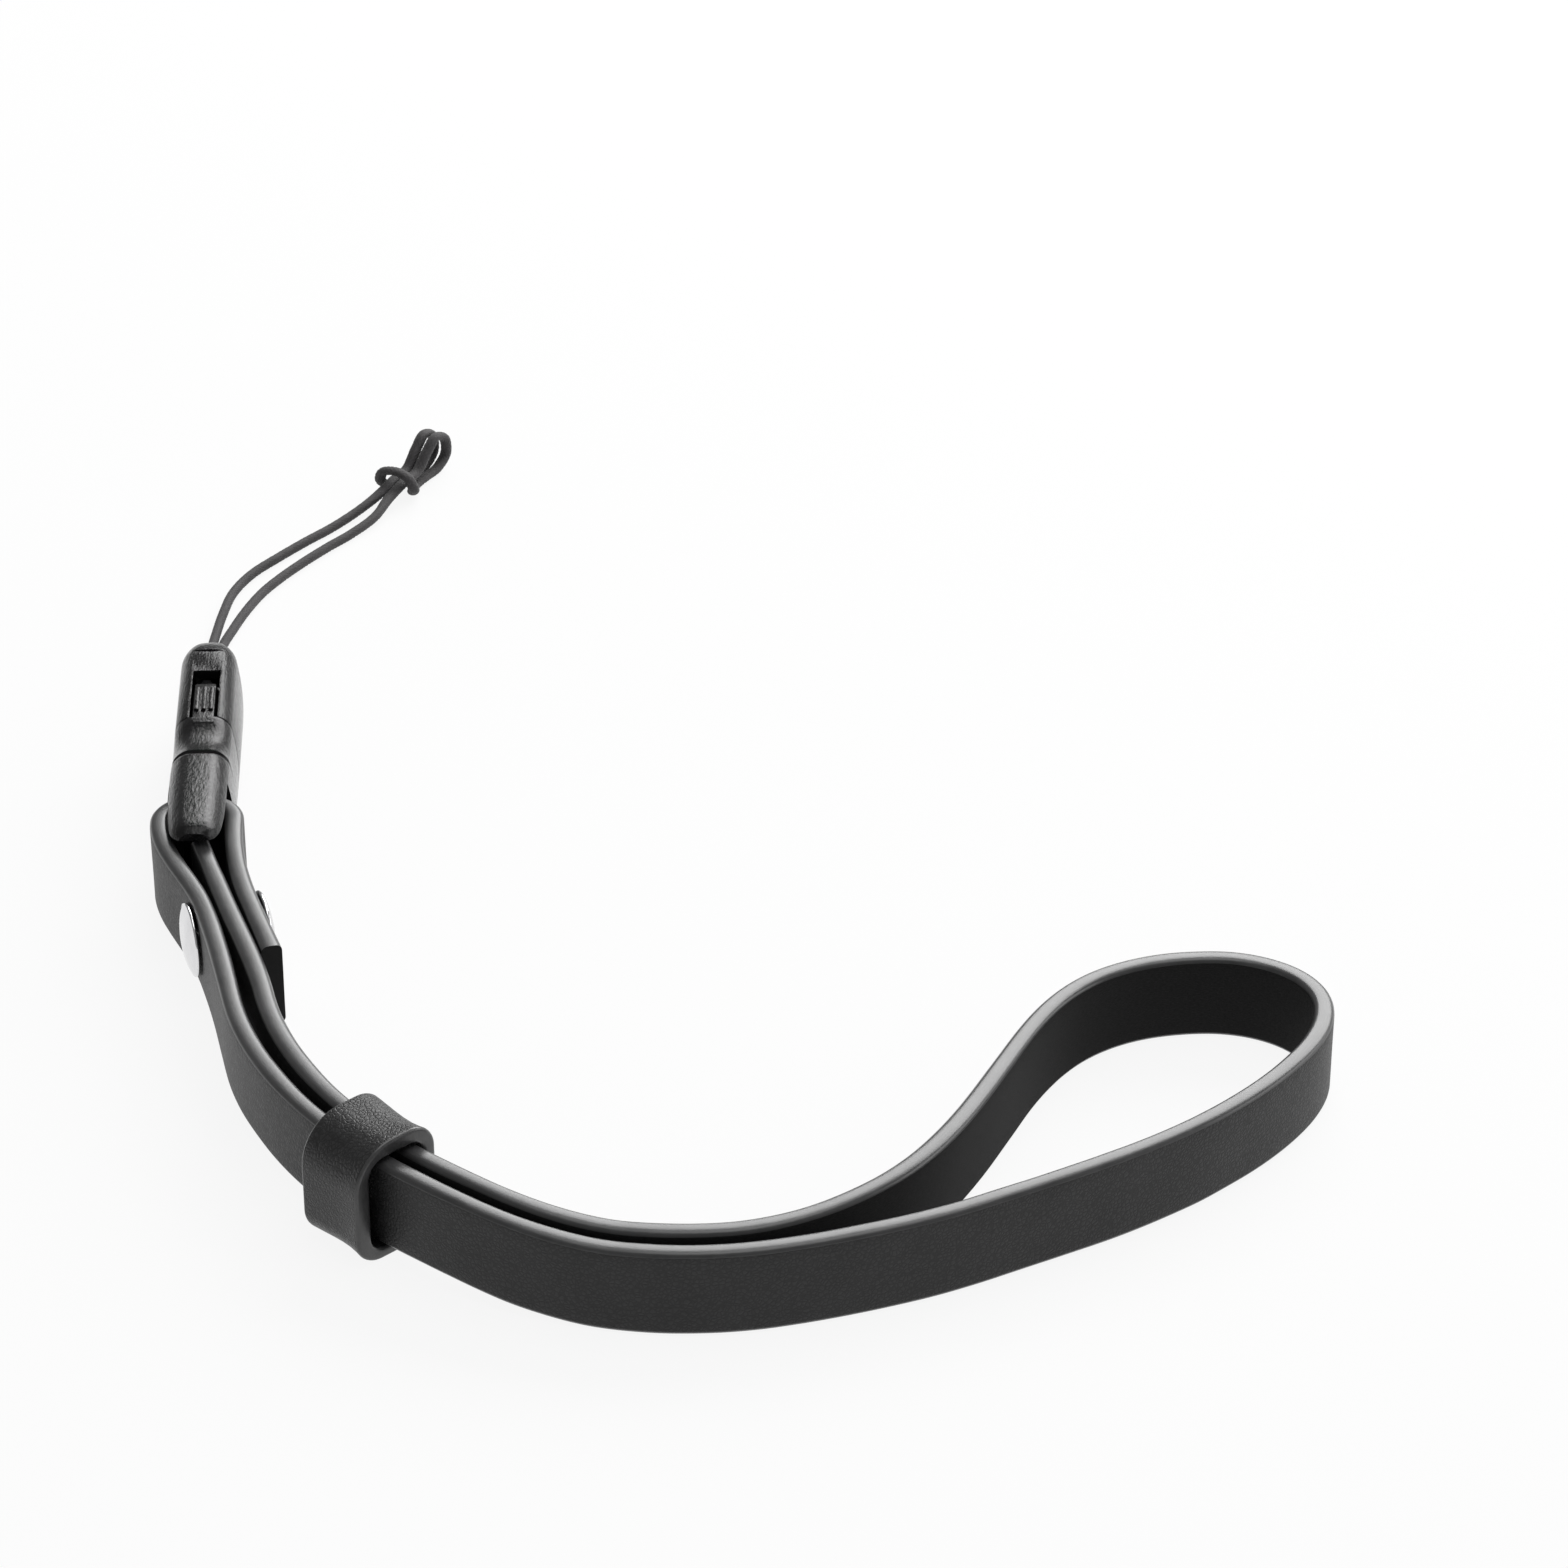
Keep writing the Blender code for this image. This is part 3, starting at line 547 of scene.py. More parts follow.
LONG_PIVOT = ARC_TOP - LONG_ARC_RADIUS * heading_vector(LONG_ARC_START)
FRONT_PIVOT = LONG_PIVOT + (LONG_ARC_RADIUS - FRONT_ARC_RADIUS) * heading_vector(LONG_ARC_END)
print("the keeper slides about", [round(value / MM, 2) for value in LONG_PIVOT])

# %% The band's path
LEATHER_WIDTH = 9.0 * MM
LEATHER_THICKNESS = 2.0 * MM
LIFT = 1.55 * MM
STACK_PITCH = 2.3 * MM
BEND_RADIUS = 3.75 * MM
BAR_PLACE = 19.6 * MM
BEND_PLACE = 17.05 * MM
BAR_RADIUS = 1.3 * MM
TAIL_GAP = 0.75 * MM
FLAP_LENGTH = 10.2 * MM
RIVET_PLACE = Vector((-49.432, 4.18, 0.0)) * MM
RIVET_TURN = math.radians(18)
# x and y in millimetres, heading in degrees
LOOP_KNOTS = (
    (24.958, -44.44, 29),
    (44.058, -32.54, 39),
    (54.558, -21.24, 56),
    (57.658, -12.44, 90),
    (47.458, -3.84, 180),
    (37.958, -6.24, 209),
    (26.158, -23.24, 246),
    (14.358, -42.44, 222),
)


def ease(step, count):
    share = max(0.0, min(1.0, step / count))
    return share * share * (3 - 2 * share)


def layer_place(angle, offset):
    """A place beside the middle of the two arcs, at an angle in degrees."""
    ahead = heading_vector(math.radians(angle))
    if math.radians(angle) < LONG_ARC_END:
        return LONG_PIVOT + (LONG_ARC_RADIUS + offset * MM) * ahead
    return FRONT_PIVOT + (FRONT_ARC_RADIUS + offset * MM) * ahead


def layer_run(stations):
    """One layer along the two arcs, through stations of an angle and an offset from their middle.
    It leaves the keeper raised and comes down to the table."""
    points = []
    for (start, offset), (end, next_offset) in zip(stations, stations[1:]):
        count = math.ceil((end - start) / DEGREES_STEP)
        for i in range(1, count + 1):
            angle = start + (end - start) * i / count
            point = layer_place(angle, offset + (next_offset - offset) * ease(i, count))
            point.z = LIFT * (1 - ease(angle - COMES_DOWN[0], COMES_DOWN[1] - COMES_DOWN[0]))
            points.append(point)
    return points


def band_path():
    """The middle of the leather from the short flap, round the clip's bar, down the outer layer,
    round the wrist loop and back up the inner layer, at the height of its lower edge."""
    clip = placed(CLIP_MOUTH, CLIP_LEAN)
    up_clip = math.radians(90) + CLIP_LEAN
    stack = math.radians(90) + RIVET_TURN
    across = STACK_PITCH * heading_vector(RIVET_TURN)
    bend_centre = clip @ Vector((0, -BEND_PLACE, 0))
    side = BEND_RADIUS * heading_vector(CLIP_LEAN)
    bar = clip @ Vector((0, -BAR_PLACE, 0))
    towards_bar = (bar - RIVET_PLACE).normalized()
    flap = [
        (RIVET_PLACE + across - FLAP_LENGTH * heading_vector(stack), stack),
        (RIVET_PLACE + across, stack),
        (bend_centre + side, up_clip),
    ]
    outer_top = [
        (bend_centre - side, up_clip + math.pi),
        (RIVET_PLACE - across, stack + math.pi),
        (layer_place(*OUTER_LAYER[0]), LONG_ARC_START + math.pi / 2),
    ]
    inner_top = [
        (layer_place(*INNER_LAYER[0]), LONG_ARC_START - math.pi / 2),
        (RIVET_PLACE, stack),
        (bar - (BAR_RADIUS + TAIL_GAP) * towards_bar, stack),
    ]
    loop = [(layer_place(*OUTER_LAYER[-1]), math.radians(OUTER_LAYER[-1][0] + 90))]
    loop += [(Vector((x, y, 0)) * MM, math.radians(heading)) for x, y, heading in LOOP_KNOTS]
    loop += [(layer_place(*INNER_LAYER[-1]), math.radians(INNER_LAYER[-1][0] - 90))]

    flat = [flap[0][0]] + run_through(flap)
    flat += arc_points(bend_centre, BEND_RADIUS, CLIP_LEAN, CLIP_LEAN + math.pi)[1:]
    flat += run_through(outer_top)
    path = [Vector((point.x, point.y, LIFT)) for point in flat]
    path += layer_run(OUTER_LAYER)
    path += [Vector((point.x, point.y, 0.0)) for point in run_through(loop)]
    path += list(reversed(layer_run(INNER_LAYER)))[1:]
    inner_start = layer_place(*INNER_LAYER[0])
    flat = [inner_start] + run_through(inner_top)
    return path + [Vector((point.x, point.y, LIFT)) for point in flat]


band_line = [point + Vector((0, 0, LEATHER_WIDTH / 2)) for point in band_path()]
print("the leather strip is", round(run_lengths(band_line)[-1] / MM), "mm long")

# %% Sweep the section along the path
EDGE_ROUNDING = 0.5 * MM
EDGE_CROWN = 0.12 * MM
CLOSE = 0.001 * MM


@contextlib.contextmanager
def editing(piece):
    """Edit mode on one piece, with nothing selected at first."""
    select_only(piece)
    bpy.ops.object.mode_set(mode="EDIT")
    bpy.ops.mesh.select_all(action="DESELECT")
    yield
    bpy.ops.object.mode_set(mode="OBJECT")


def pick(kind, rule):
    """Selects the faces, edges or vertices that a rule holds for, and nothing else."""
    bpy.ops.mesh.select_all(action="DESELECT")
    bpy.ops.mesh.select_mode(type=kind)
    bm = bmesh.from_edit_mesh(bpy.context.edit_object.data)
    for item in {"VERT": bm.verts, "EDGE": bm.edges, "FACE": bm.faces}[kind]:
        if rule(item):
            item.select_set(True)
    bm.select_flush_mode()
    bmesh.update_edit_mesh(bpy.context.edit_object.data)


def open_near(place):
    """A rule for edges: true for those of an open end that is near a place."""
    return lambda edge: edge.is_boundary and (edge.verts[0].co - place).length < LEATHER_WIDTH


def apply_modifier(piece, kind, name, **settings):
    """Adds a modifier, sets it and applies it."""
    select_only(piece)
    modifier = piece.modifiers.new(name, kind)
    for key, value in settings.items():
        setattr(modifier, key, value)
    bpy.ops.object.modifier_apply(modifier=modifier.name)


select_nothing()
bpy.ops.mesh.primitive_plane_add(size=1.0)
section = bpy.context.active_object
section.scale = (LEATHER_THICKNESS, LEATHER_WIDTH - 2 * EDGE_CROWN, 1.0)
bpy.ops.object.transform_apply(location=True, rotation=True, scale=True)
with editing(section):
    bpy.ops.mesh.select_all(action="SELECT")
    bpy.ops.mesh.bevel(affect="VERTICES", offset=EDGE_ROUNDING, segments=5)
    bpy.ops.mesh.select_all(action="SELECT")
    bpy.ops.mesh.delete(type="ONLY_FACE")
    pick("EDGE", lambda edge: edge.calc_length() > LEATHER_WIDTH / 2)
    bpy.ops.mesh.subdivide(number_cuts=7)
    pick("EDGE", lambda edge: abs(edge.verts[0].co.y - edge.verts[1].co.y) < CLOSE)
    bpy.ops.mesh.subdivide(number_cuts=3)
for vertex in section.data.vertices:
    if abs(vertex.co.y) > LEATHER_WIDTH / 2 - EDGE_CROWN - EDGE_ROUNDING - CLOSE:
        rise = EDGE_CROWN * (1 - (2 * vertex.co.x / LEATHER_THICKNESS) ** 2)
        vertex.co.y += math.copysign(rise, vertex.co.y)
bpy.ops.object.convert(target="CURVE")
section_points = len(section.data.splines[0].points)

bpy.ops.curve.primitive_nurbs_path_add()
band = bpy.context.active_object
band.name = "leather_strip"
band.location = (0, 0, 0)
band.data.splines.clear()
strip_spline = band.data.splines.new("POLY")
strip_spline.points.add(len(band_line) - 1)
for target, point in zip(strip_spline.points, band_line):
    target.co = (*point, 1.0)
band.data.dimensions = "3D"
band.data.twist_mode = "Z_UP"
band.data.bevel_mode = "OBJECT"
band.data.bevel_object = section
select_only(band)
bpy.ops.object.convert(target="MESH")
bpy.data.objects.remove(section)
ring = len(band.data.vertices) // len(band_line)
with editing(band):
    for end in (band_line[0], band_line[-1]):
        pick("EDGE", open_near(end))
        bpy.ops.mesh.edge_face_add()
    bpy.ops.mesh.select_all(action="SELECT")
    bpy.ops.mesh.normals_make_consistent(inside=False)
print("section of", section_points, "points, strip of", len(band.data.vertices), "vertices")

# %% Map the strip along its length and sort its faces
GRAIN, LINING, PAINTED = range(3)


def map_strip(strip, line):
    """Gives the strip a map in millimetres, along it and round it, and a finish to each face."""
    mesh = strip.data
    run = run_lengths(line)
    corners = [vertex.co for vertex in mesh.vertices[:ring]]
    girth = run_lengths(corners + corners[:1])
    painted_from = LEATHER_WIDTH / 2 - EDGE_CROWN - 0.8 * EDGE_ROUNDING
    while mesh.uv_layers:
        mesh.uv_layers.remove(mesh.uv_layers[0])
    layer = mesh.uv_layers.new(name="along and round")
    for face in mesh.polygons:
        wraps = {0, ring - 1} <= {vertex % ring for vertex in face.vertices}
        for loop, vertex in zip(face.loop_indices, face.vertices):
            row, k = divmod(vertex, ring)
            layer.data[loop].uv = (run[row] / MM, girth[ring if wraps and k == 0 else k] / MM)
        row = min(vertex // ring for vertex in face.vertices)
        ahead = heading_at(line, row)
        right = Vector((ahead.y, -ahead.x, 0.0))
        if len(face.vertices) > 4:
            face.material_index = LINING
        elif abs(face.center.z - line[row].z) > painted_from:
            face.material_index = PAINTED
        else:
            face.material_index = GRAIN if right.dot(face.center - line[row]) > 0 else LINING


map_strip(band, band_line)
counts = [sum(face.material_index == kind for face in band.data.polygons) for kind in range(3)]
print("grain, lining and painted faces:", counts)

# %% Holes for the rivet, and the small waves of real leather
RIVET_SHANK_RADIUS = 1.2 * MM
RIVET_BORE_RADIUS = RIVET_SHANK_RADIUS + 0.3 * MM
RIVET_MATRIX = placed(RIVET_PLACE, RIVET_TURN, MID_HEIGHT) @ Matrix.Rotation(math.pi / 2, 4, "Y")
PUNCH_LENGTH = 9.0 * MM
WAVE_LENGTH = 11.0 * MM
WAVE_HEIGHT = 0.16 * MM


def settle(piece, matrix):
    """Puts a piece in its place and writes that place into its mesh."""
    select_only(piece)
    piece.matrix_world = matrix @ piece.matrix_world
    bpy.ops.object.transform_apply(location=True, rotation=True, scale=True)


def cut(piece, cutter, operation="DIFFERENCE"):
    """Cuts, or joins, one piece with another, which is used up."""
    select_nothing()
    apply_modifier(piece, "BOOLEAN", "cut", operation=operation, solver="EXACT", object=cutter)
    bpy.data.objects.remove(cutter)


def new_cylinder(radius, length, place=(0, 0, 0)):
    """A cylinder that stands on end round a place."""
    select_nothing()
    bpy.ops.mesh.primitive_cylinder_add(vertices=40, radius=radius, depth=length, location=place)
    return bpy.context.active_object


def shade_smooth(piece, degrees):
    """Shades a piece smooth, apart from edges that bend more than some degrees."""
    select_only(piece)
    bpy.ops.object.shade_smooth_by_angle(angle=math.radians(degrees))


punch = new_cylinder(RIVET_BORE_RADIUS, PUNCH_LENGTH)
settle(punch, RIVET_MATRIX)
cut(band, punch)
waves = bpy.data.textures.new("leather waves", "CLOUDS")
waves.noise_scale = WAVE_LENGTH
waves.noise_depth = 1
wave_settings = {"texture": waves, "strength": WAVE_HEIGHT, "mid_level": 0.5}
apply_modifier(band, "DISPLACE", "waves", **wave_settings, texture_coords="LOCAL")
shade_smooth(band, 40)
print("the strip has", len(band.data.polygons), "faces")

# %% [markdown]
# ## Leather finishes
# The outside is black grain leather, the inside a matt lining, and both edges are painted and
# rubbed smooth. An image of leather could be laid over the strip. Cell and noise patterns in
# millimetres do the same here, stay sharp close up, and let the three finishes share their grain.

# %% Grain, lining and painted edges
PEBBLES_PER_MM = 1 / 0.42
PORES_PER_MM = 5.5 / 0.42


def pebbles(finish, where):
    """Leather grain: soft pebbles between fine creases, with still finer pores on them."""
    inputs = {"Vector": where, "Scale": PEBBLES_PER_MM}
    cells = finish.node("TexVoronoi", {"feature": "DISTANCE_TO_EDGE"}, inputs)
    pores = finish.noise(where, PORES_PER_MM, 3.0)
    return finish.between(cells, 0.0, 0.28) * 0.65 + pores * 0.35


def grain_leather(name, source, dark, light, roughness, depth):
    finish = Finish(name)
    where = finish.place(source)
    grain = pebbles(finish, where)
    cloud = finish.noise(where, 0.16, 3.0)
    wear = finish.noise(where, 1.3, 4.0)
    # Partly painted shade: the creases and pores, low in the grain's bump, are coloured darker; the
    # cloud and wear noises vary the tone at random.
    tone = finish.between(cloud * 0.4 + wear * 0.3 + grain * 0.3, 0.3, 0.72)
    finish.set(
        base_color=finish.mix(tone, dark, light),
        roughness=roughness + wear * 0.18 - grain * 0.08,
        normal=finish.bump(grain, depth, 0.9, finish.bump(wear, 0.05 * MM, 0.5)),
        specular_ior_level=0.36,
    )
    return finish


leather = grain_leather(
    "grain leather", "UV", (0.009, 0.009, 0.0092), (0.024, 0.024, 0.0245), 0.42, 0.035 * MM
)

lining = Finish("matt lining")
lining_where = lining.place("UV")
fibres = lining.noise(lining.stretch(lining_where, (1.2, 5.0, 1.0)), 2.0, 5.0, 0.65)
fibre_tone = lining.between(fibres, 0.35, 0.7)
lining.set(
    base_color=lining.mix(fibre_tone, (0.007, 0.007, 0.0072), (0.02, 0.0198, 0.0198)),
    roughness=0.7 + fibres * 0.15,
    normal=lining.bump(fibres, 0.05 * MM, 0.8),
    specular_ior_level=0.25,
)


def painted_edge(name, source):
    finish = Finish(name)
    where = finish.place(source)
    drift = finish.noise(where, 0.35, 3.0)
    brushed = finish.noise(finish.stretch(where, (0.5, 5.0, 1.0)), 1.4, 4.0)
    tone = finish.between(drift * 0.5 + brushed * 0.5, 0.3, 0.7)
    finish.set(
        base_color=finish.mix(tone, (0.026, 0.026, 0.0265), (0.05, 0.05, 0.051)),
        roughness=0.32 + drift * 0.1,
        normal=finish.bump(brushed, 0.01 * MM, 0.3, finish.bump(drift, 0.1 * MM, 0.35)),
        coat_weight=0.45,
        coat_roughness=0.26,
    )
    return finish


edge_paint = painted_edge("painted edge", "UV")
for finish in (leather, lining, edge_paint):
    band.data.materials.append(finish.material)
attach(band, "strap")
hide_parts("leather_band")
print("the strip wears", [material.name for material in band.data.materials])

# %% [markdown]
# ## The keeper
# The keeper is a short band of leather that goes round both layers and slides along them. It could
# be a bent strip. It is pressed over a former, so its corners are round, the outer one most, and
# its middle is a little narrower than its rims. A block gets these first and then its opening.

# %% The keeper ring
KEEPER_LENGTH = 8.0 * MM
KEEPER_WALL = 1.4 * MM
KEEPER_HALF_ACROSS = 4.85 * MM
KEEPER_HALF_HIGH = 6.3 * MM
KEEPER_CORNER = 2.9 * MM
KEEPER_WORN_CORNER = 4.8 * MM
KEEPER_OPENING_OUT = 3.0 * MM
KEEPER_OPENING_TOP = 4.6 * MM
KEEPER_OPENING_BOTTOM = 5.1 * MM
KEEPER_OPENING_WORN = 1.8 * MM
KEEPER_WAIST = 0.12 * MM
KEEPER_RIM = 0.42 * MM
KEEPER_CUTS = (-0.4, -0.24, -0.08, 0.08, 0.24, 0.4)
KEEPER_ANGLE = math.radians(223.3)
KEEPER_REACH = LONG_ARC_RADIUS - 0.12 * MM
CURVE_SEGMENTS = 12
ALIGNED = 0.9


def new_block(name, size, centre=(0, 0, 0)):
    """A block of a size at a place, ready to be shaped."""
    select_nothing()
    bpy.ops.mesh.primitive_cube_add(size=1.0, location=centre)
    block = bpy.context.active_object
    block.name = name
    block.scale = size
    bpy.ops.object.transform_apply(location=True, rotation=True, scale=True)
    return block


def runs_along(axis):
    """A rule for edges: true for those that run along an axis."""
    return lambda edge: abs((edge.verts[1].co - edge.verts[0].co).normalized()[axis]) > ALIGNED


def faces_towards(direction):
    """A rule for faces: true for those that face a direction."""
    return lambda face: face.normal.dot(Vector(direction)) > ALIGNED


def soft_block(name, size, centre, rounding, axis=1, segments=4):
    """A block with its edges along an axis rounded."""
    block = new_block(name, size, centre)
    with editing(block):
        pick("EDGE", runs_along(axis))
        bpy.ops.mesh.bevel(offset=rounding, segments=segments, affect="EDGES")
    return block


def round_long_edges(worn, rounding):
    """Rounds the four edges that run along y, the top outer one with a radius of its own."""
    pick("EDGE", lambda edge: runs_along(1)(edge) and min(edge.verts[0].co.xz) > 0)
    bpy.ops.mesh.bevel(offset=worn, segments=CURVE_SEGMENTS, affect="EDGES")
    pick("EDGE", lambda edge: runs_along(1)(edge) and edge.calc_face_angle(0.0) > 1.0)
    bpy.ops.mesh.bevel(offset=rounding, segments=CURVE_SEGMENTS, affect="EDGES")


def soften(piece, width, degrees, segments=3):
    """Rounds the edges that bend more than some degrees."""
    limit = {"limit_method": "ANGLE", "angle_limit": math.radians(degrees)}
    apply_modifier(piece, "BEVEL", "soft edges", width=width, segments=segments, **limit)


keeper = new_block("keeper_loop", (2 * KEEPER_HALF_ACROSS, KEEPER_LENGTH, 2 * KEEPER_HALF_HIGH))
with editing(keeper):
    round_long_edges(KEEPER_WORN_CORNER, KEEPER_CORNER)
    for share in KEEPER_CUTS:
        place = Vector((0, share * KEEPER_LENGTH, 0))
        bpy.ops.mesh.select_all(action="SELECT")
        bpy.ops.mesh.bisect(plane_co=place, plane_no=(0, 1, 0))
        pick("VERT", lambda vertex: abs(vertex.co.y - place.y) < CLOSE)
        waist = KEEPER_WAIST * (1 - (2 * share) ** 2)
        ratio = (1 - waist / KEEPER_HALF_ACROSS, 1.0, 1 - waist / KEEPER_HALF_HIGH)
        bpy.ops.transform.resize(value=ratio, center_override=place)
opening_in = KEEPER_HALF_ACROSS - KEEPER_WALL
opening_high = KEEPER_OPENING_TOP + KEEPER_OPENING_BOTTOM
opening_up = (KEEPER_OPENING_TOP - KEEPER_OPENING_BOTTOM) / 2
opening = new_block(
    "keeper opening",
    (opening_in + KEEPER_OPENING_OUT, 2 * KEEPER_LENGTH, opening_high),
    ((KEEPER_OPENING_OUT - opening_in) / 2, 0, opening_up),
)
with editing(opening):
    round_long_edges(KEEPER_OPENING_WORN, KEEPER_CORNER - KEEPER_WALL)
cut(keeper, opening)
soften(keeper, KEEPER_RIM, 60, 5)
for face in keeper.data.polygons:
    face.material_index = int(abs(face.center.y) > KEEPER_LENGTH / 2 - KEEPER_RIM * 0.7)
keeper_place = LONG_PIVOT + KEEPER_REACH * heading_vector(KEEPER_ANGLE)
settle(keeper, placed(keeper_place, KEEPER_ANGLE, MID_HEIGHT))
shade_smooth(keeper, 40)
keeper_leather = grain_leather(
    "keeper leather", "Object", (0.014, 0.014, 0.0142), (0.034, 0.034, 0.0345), 0.32, 0.045 * MM
)
keeper.data.materials.append(keeper_leather.material)
keeper.data.materials.append(painted_edge("keeper rim", "Object").material)
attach(keeper, "keeper")
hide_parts("keeper_ring")
print("the keeper has", len(keeper.data.polygons), "faces")

# %% [markdown]
# ## The rivet
# A double cap rivet is two polished domes, one on each side of the folded leather: the post of one
# is pressed into the other. Domes could be cut from spheres. Half an outline spun round the rivet's
# axis gives the dome, its rolled rim and the post in one go.

# %% Two turned pieces
RIVET_CAP_RADIUS = 3.75 * MM
RIVET_CAP_RIM = 0.35 * MM
RIVET_DOME = 1.15 * MM
RIVET_SEAT = 3.52 * MM
RIVET_BORE_DEPTH = 0.6 * MM
RIVET_POST_GAP = 0.3 * MM
RIVET_ROLL = 0.2 * MM
RIVET_DOME_INSET = 0.16 * MM
RIVET_DOME_SHARE = 0.92
DOME_STEPS = 14
ROLL_STEPS = 6
TURN_STEPS = 72


def turned_piece(name, profile):
    """Draws half an outline point by point, as radius and height, and spins it round Z."""
    select_nothing()
    bpy.ops.mesh.primitive_plane_add(size=1.0)
    piece = bpy.context.active_object
    piece.name = name
    bpy.ops.object.mode_set(mode="EDIT")
    bpy.ops.mesh.select_mode(type="VERT")
    bpy.ops.mesh.select_all(action="SELECT")
    bpy.ops.mesh.merge(type="CENTER")
    bpy.ops.transform.translate(value=(profile[0][0], 0, profile[0][1]))
    for (radius, height), (next_radius, next_height) in zip(profile, profile[1:]):
        step = (next_radius - radius, 0, next_height - height)
        bpy.ops.mesh.extrude_vertices_move(TRANSFORM_OT_translate={"value": step})
    bpy.ops.mesh.select_all(action="SELECT")
    bpy.ops.mesh.spin(steps=TURN_STEPS, angle=2 * math.pi, center=(0, 0, 0), axis=(0, 0, 1))
    bpy.ops.mesh.select_all(action="SELECT")
    bpy.ops.mesh.remove_doubles(threshold=CLOSE)
    bpy.ops.mesh.normals_make_consistent(inside=False)
    bpy.ops.object.mode_set(mode="OBJECT")
    return piece


def dome_profile():
    """The outside of a cap, from its middle to its rolled rim."""
    points = []
    foot = math.sqrt(1 - RIVET_DOME_SHARE**2)
    for step in range(DOME_STEPS + 1):
        share = step / DOME_STEPS
        height = RIVET_DOME * (math.sqrt(1 - (RIVET_DOME_SHARE * share) ** 2) - foot)
        radius = (RIVET_CAP_RADIUS - RIVET_DOME_INSET) * share
        points.append((radius, RIVET_SEAT + RIVET_CAP_RIM + height))
    rim = Vector((RIVET_CAP_RADIUS - RIVET_ROLL, RIVET_SEAT + RIVET_ROLL, 0.0))
    for step in range(ROLL_STEPS + 1):
        point = rim + RIVET_ROLL * heading_vector(math.radians(50 - 140 * step / ROLL_STEPS))
        points.append((point.x, point.y))
    return points


bore_floor = RIVET_SEAT + RIVET_BORE_DEPTH
post_top = bore_floor - RIVET_POST_GAP
cap_outline = dome_profile()
cap_outline += [(RIVET_BORE_RADIUS, RIVET_SEAT), (RIVET_BORE_RADIUS, bore_floor), (0.0, bore_floor)]
post_outline = [(0.0, post_top), (RIVET_SHANK_RADIUS, post_top), (RIVET_SHANK_RADIUS, -RIVET_SEAT)]
post_outline += [(radius, -height) for radius, height in reversed(dome_profile())]
steel = Finish("polished rivet")
steel_where = steel.place()
smear = steel.noise(steel_where, 0.6, 3.0)
scratch = steel.noise(steel.stretch(steel_where, (1.0, 1.0, 9.0)), 2.5, 4.0)
steel.set(
    base_color=steel.mix(smear, (0.62, 0.62, 0.63), (0.8, 0.8, 0.81)),
    metallic=1.0,
    roughness=0.07 + smear * 0.07 + steel.between(scratch, 0.62, 0.75) * 0.12,
    normal=steel.bump(scratch, 0.004 * MM, 0.5),
)
for name, outline in (("rivet_cap", cap_outline), ("rivet_post", post_outline)):
    rivet = turned_piece(name + "_turned", outline)
    settle(rivet, RIVET_MATRIX)
    shade_smooth(rivet, 35)
    rivet.data.materials.append(steel.material)
    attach(rivet, "strap")
    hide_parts(name)
    print(rivet.name, "has", len(rivet.data.polygons), "faces")

# %% [markdown]
# ## The clip
# The clip is a small side release buckle, seen here on its narrow side. Its socket is a hood that
# is open at one end, with a window for the arm that is pressed to free it; its plug carries two
# arms, a tongue, a saddle for the finger and the bar that the leather turns round. Both could be
# carved from solid blocks. A moulding grows along its length, so each is pulled out through its
# sections and then cut.

# %% The socket
CLIP_THICKNESS = 5.3 * MM
CLIP_WIDTH = 12.6 * MM
CLIP_CORNER = 1.5 * MM
CLIP_BULGE = 0.7 * MM
CLIP_CROWN = 0.3 * MM
SOCKET_DOME = 4.6 * MM
SOCKET_SIDE_WALL = 1.05 * MM
SOCKET_NARROW_WALL = 1.2 * MM
SOCKET_END_WALL = 3.0 * MM
WINDOW_WIDTH = 2.9 * MM
WINDOW_LENGTH = 9.9 * MM
PANEL_WIDTH = 3.9 * MM
PANEL_LENGTH = 14.2 * MM
PANEL_DEPTH = 0.22 * MM
PANEL_CORNER = 0.7 * MM
HOLLOW_CORNER = 0.5 * MM
CORD_HOLE = CORD_DIAMETER + 0.6 * MM
SOFT_EDGE = 0.13 * MM
HOOD_TURN = math.radians(84)
HOOD_STEPS = 12
HOOD_END_THICK = 0.36
HOOD_END_WIDE = 0.7
HALF_THICK = CLIP_THICKNESS / 2
HALF_WIDE = CLIP_WIDTH / 2


def pull_face(step, ratio, centre):
    """Pulls the chosen face out by a step and then makes it smaller or larger round a centre."""
    bpy.ops.mesh.extrude_region_move(TRANSFORM_OT_translate={"value": step})
    bpy.ops.transform.resize(value=ratio, center_override=centre)


def pull_through(stations):
    """Pulls the end face of the piece in edit mode on through its stations, each a place along y,
    half a thickness and half a width."""
    for (start, thick, wide), (end, next_thick, next_wide) in zip(stations, stations[1:]):
        ratio = (next_thick / thick, 1.0, next_wide / wide)
        pull_face((0, end - start, 0), ratio, (0, end, 0))


def bulge_faces(piece):
    """Gives the two flat wide faces a soft belly, and the narrow ones a slight crown."""
    long_edge = CLIP_THICKNESS / 5
    with editing(piece):
        for axis, cuts in ((2, 9), (0, 7)):
            pick("EDGE", lambda edge: runs_along(axis)(edge) and edge.calc_length() > long_edge)
            bpy.ops.mesh.subdivide(number_cuts=cuts)
    rows = {}
    for vertex in piece.data.vertices:
        rows.setdefault(round(vertex.co.y / CLOSE), []).append(vertex)
    for row in rows.values():
        half_thick = max(abs(vertex.co.x) for vertex in row)
        half_wide = max(abs(vertex.co.z) for vertex in row)
        for vertex in row:
            across, up = vertex.co.x / half_thick, vertex.co.z / half_wide
            belly = CLIP_BULGE * half_thick / HALF_THICK * (1 - up * up)
            crown = CLIP_CROWN * (1 - across * across)
            vertex.co.x += math.copysign(belly, across)
            vertex.co.z += math.copysign(crown, up) - CLIP_CROWN * up


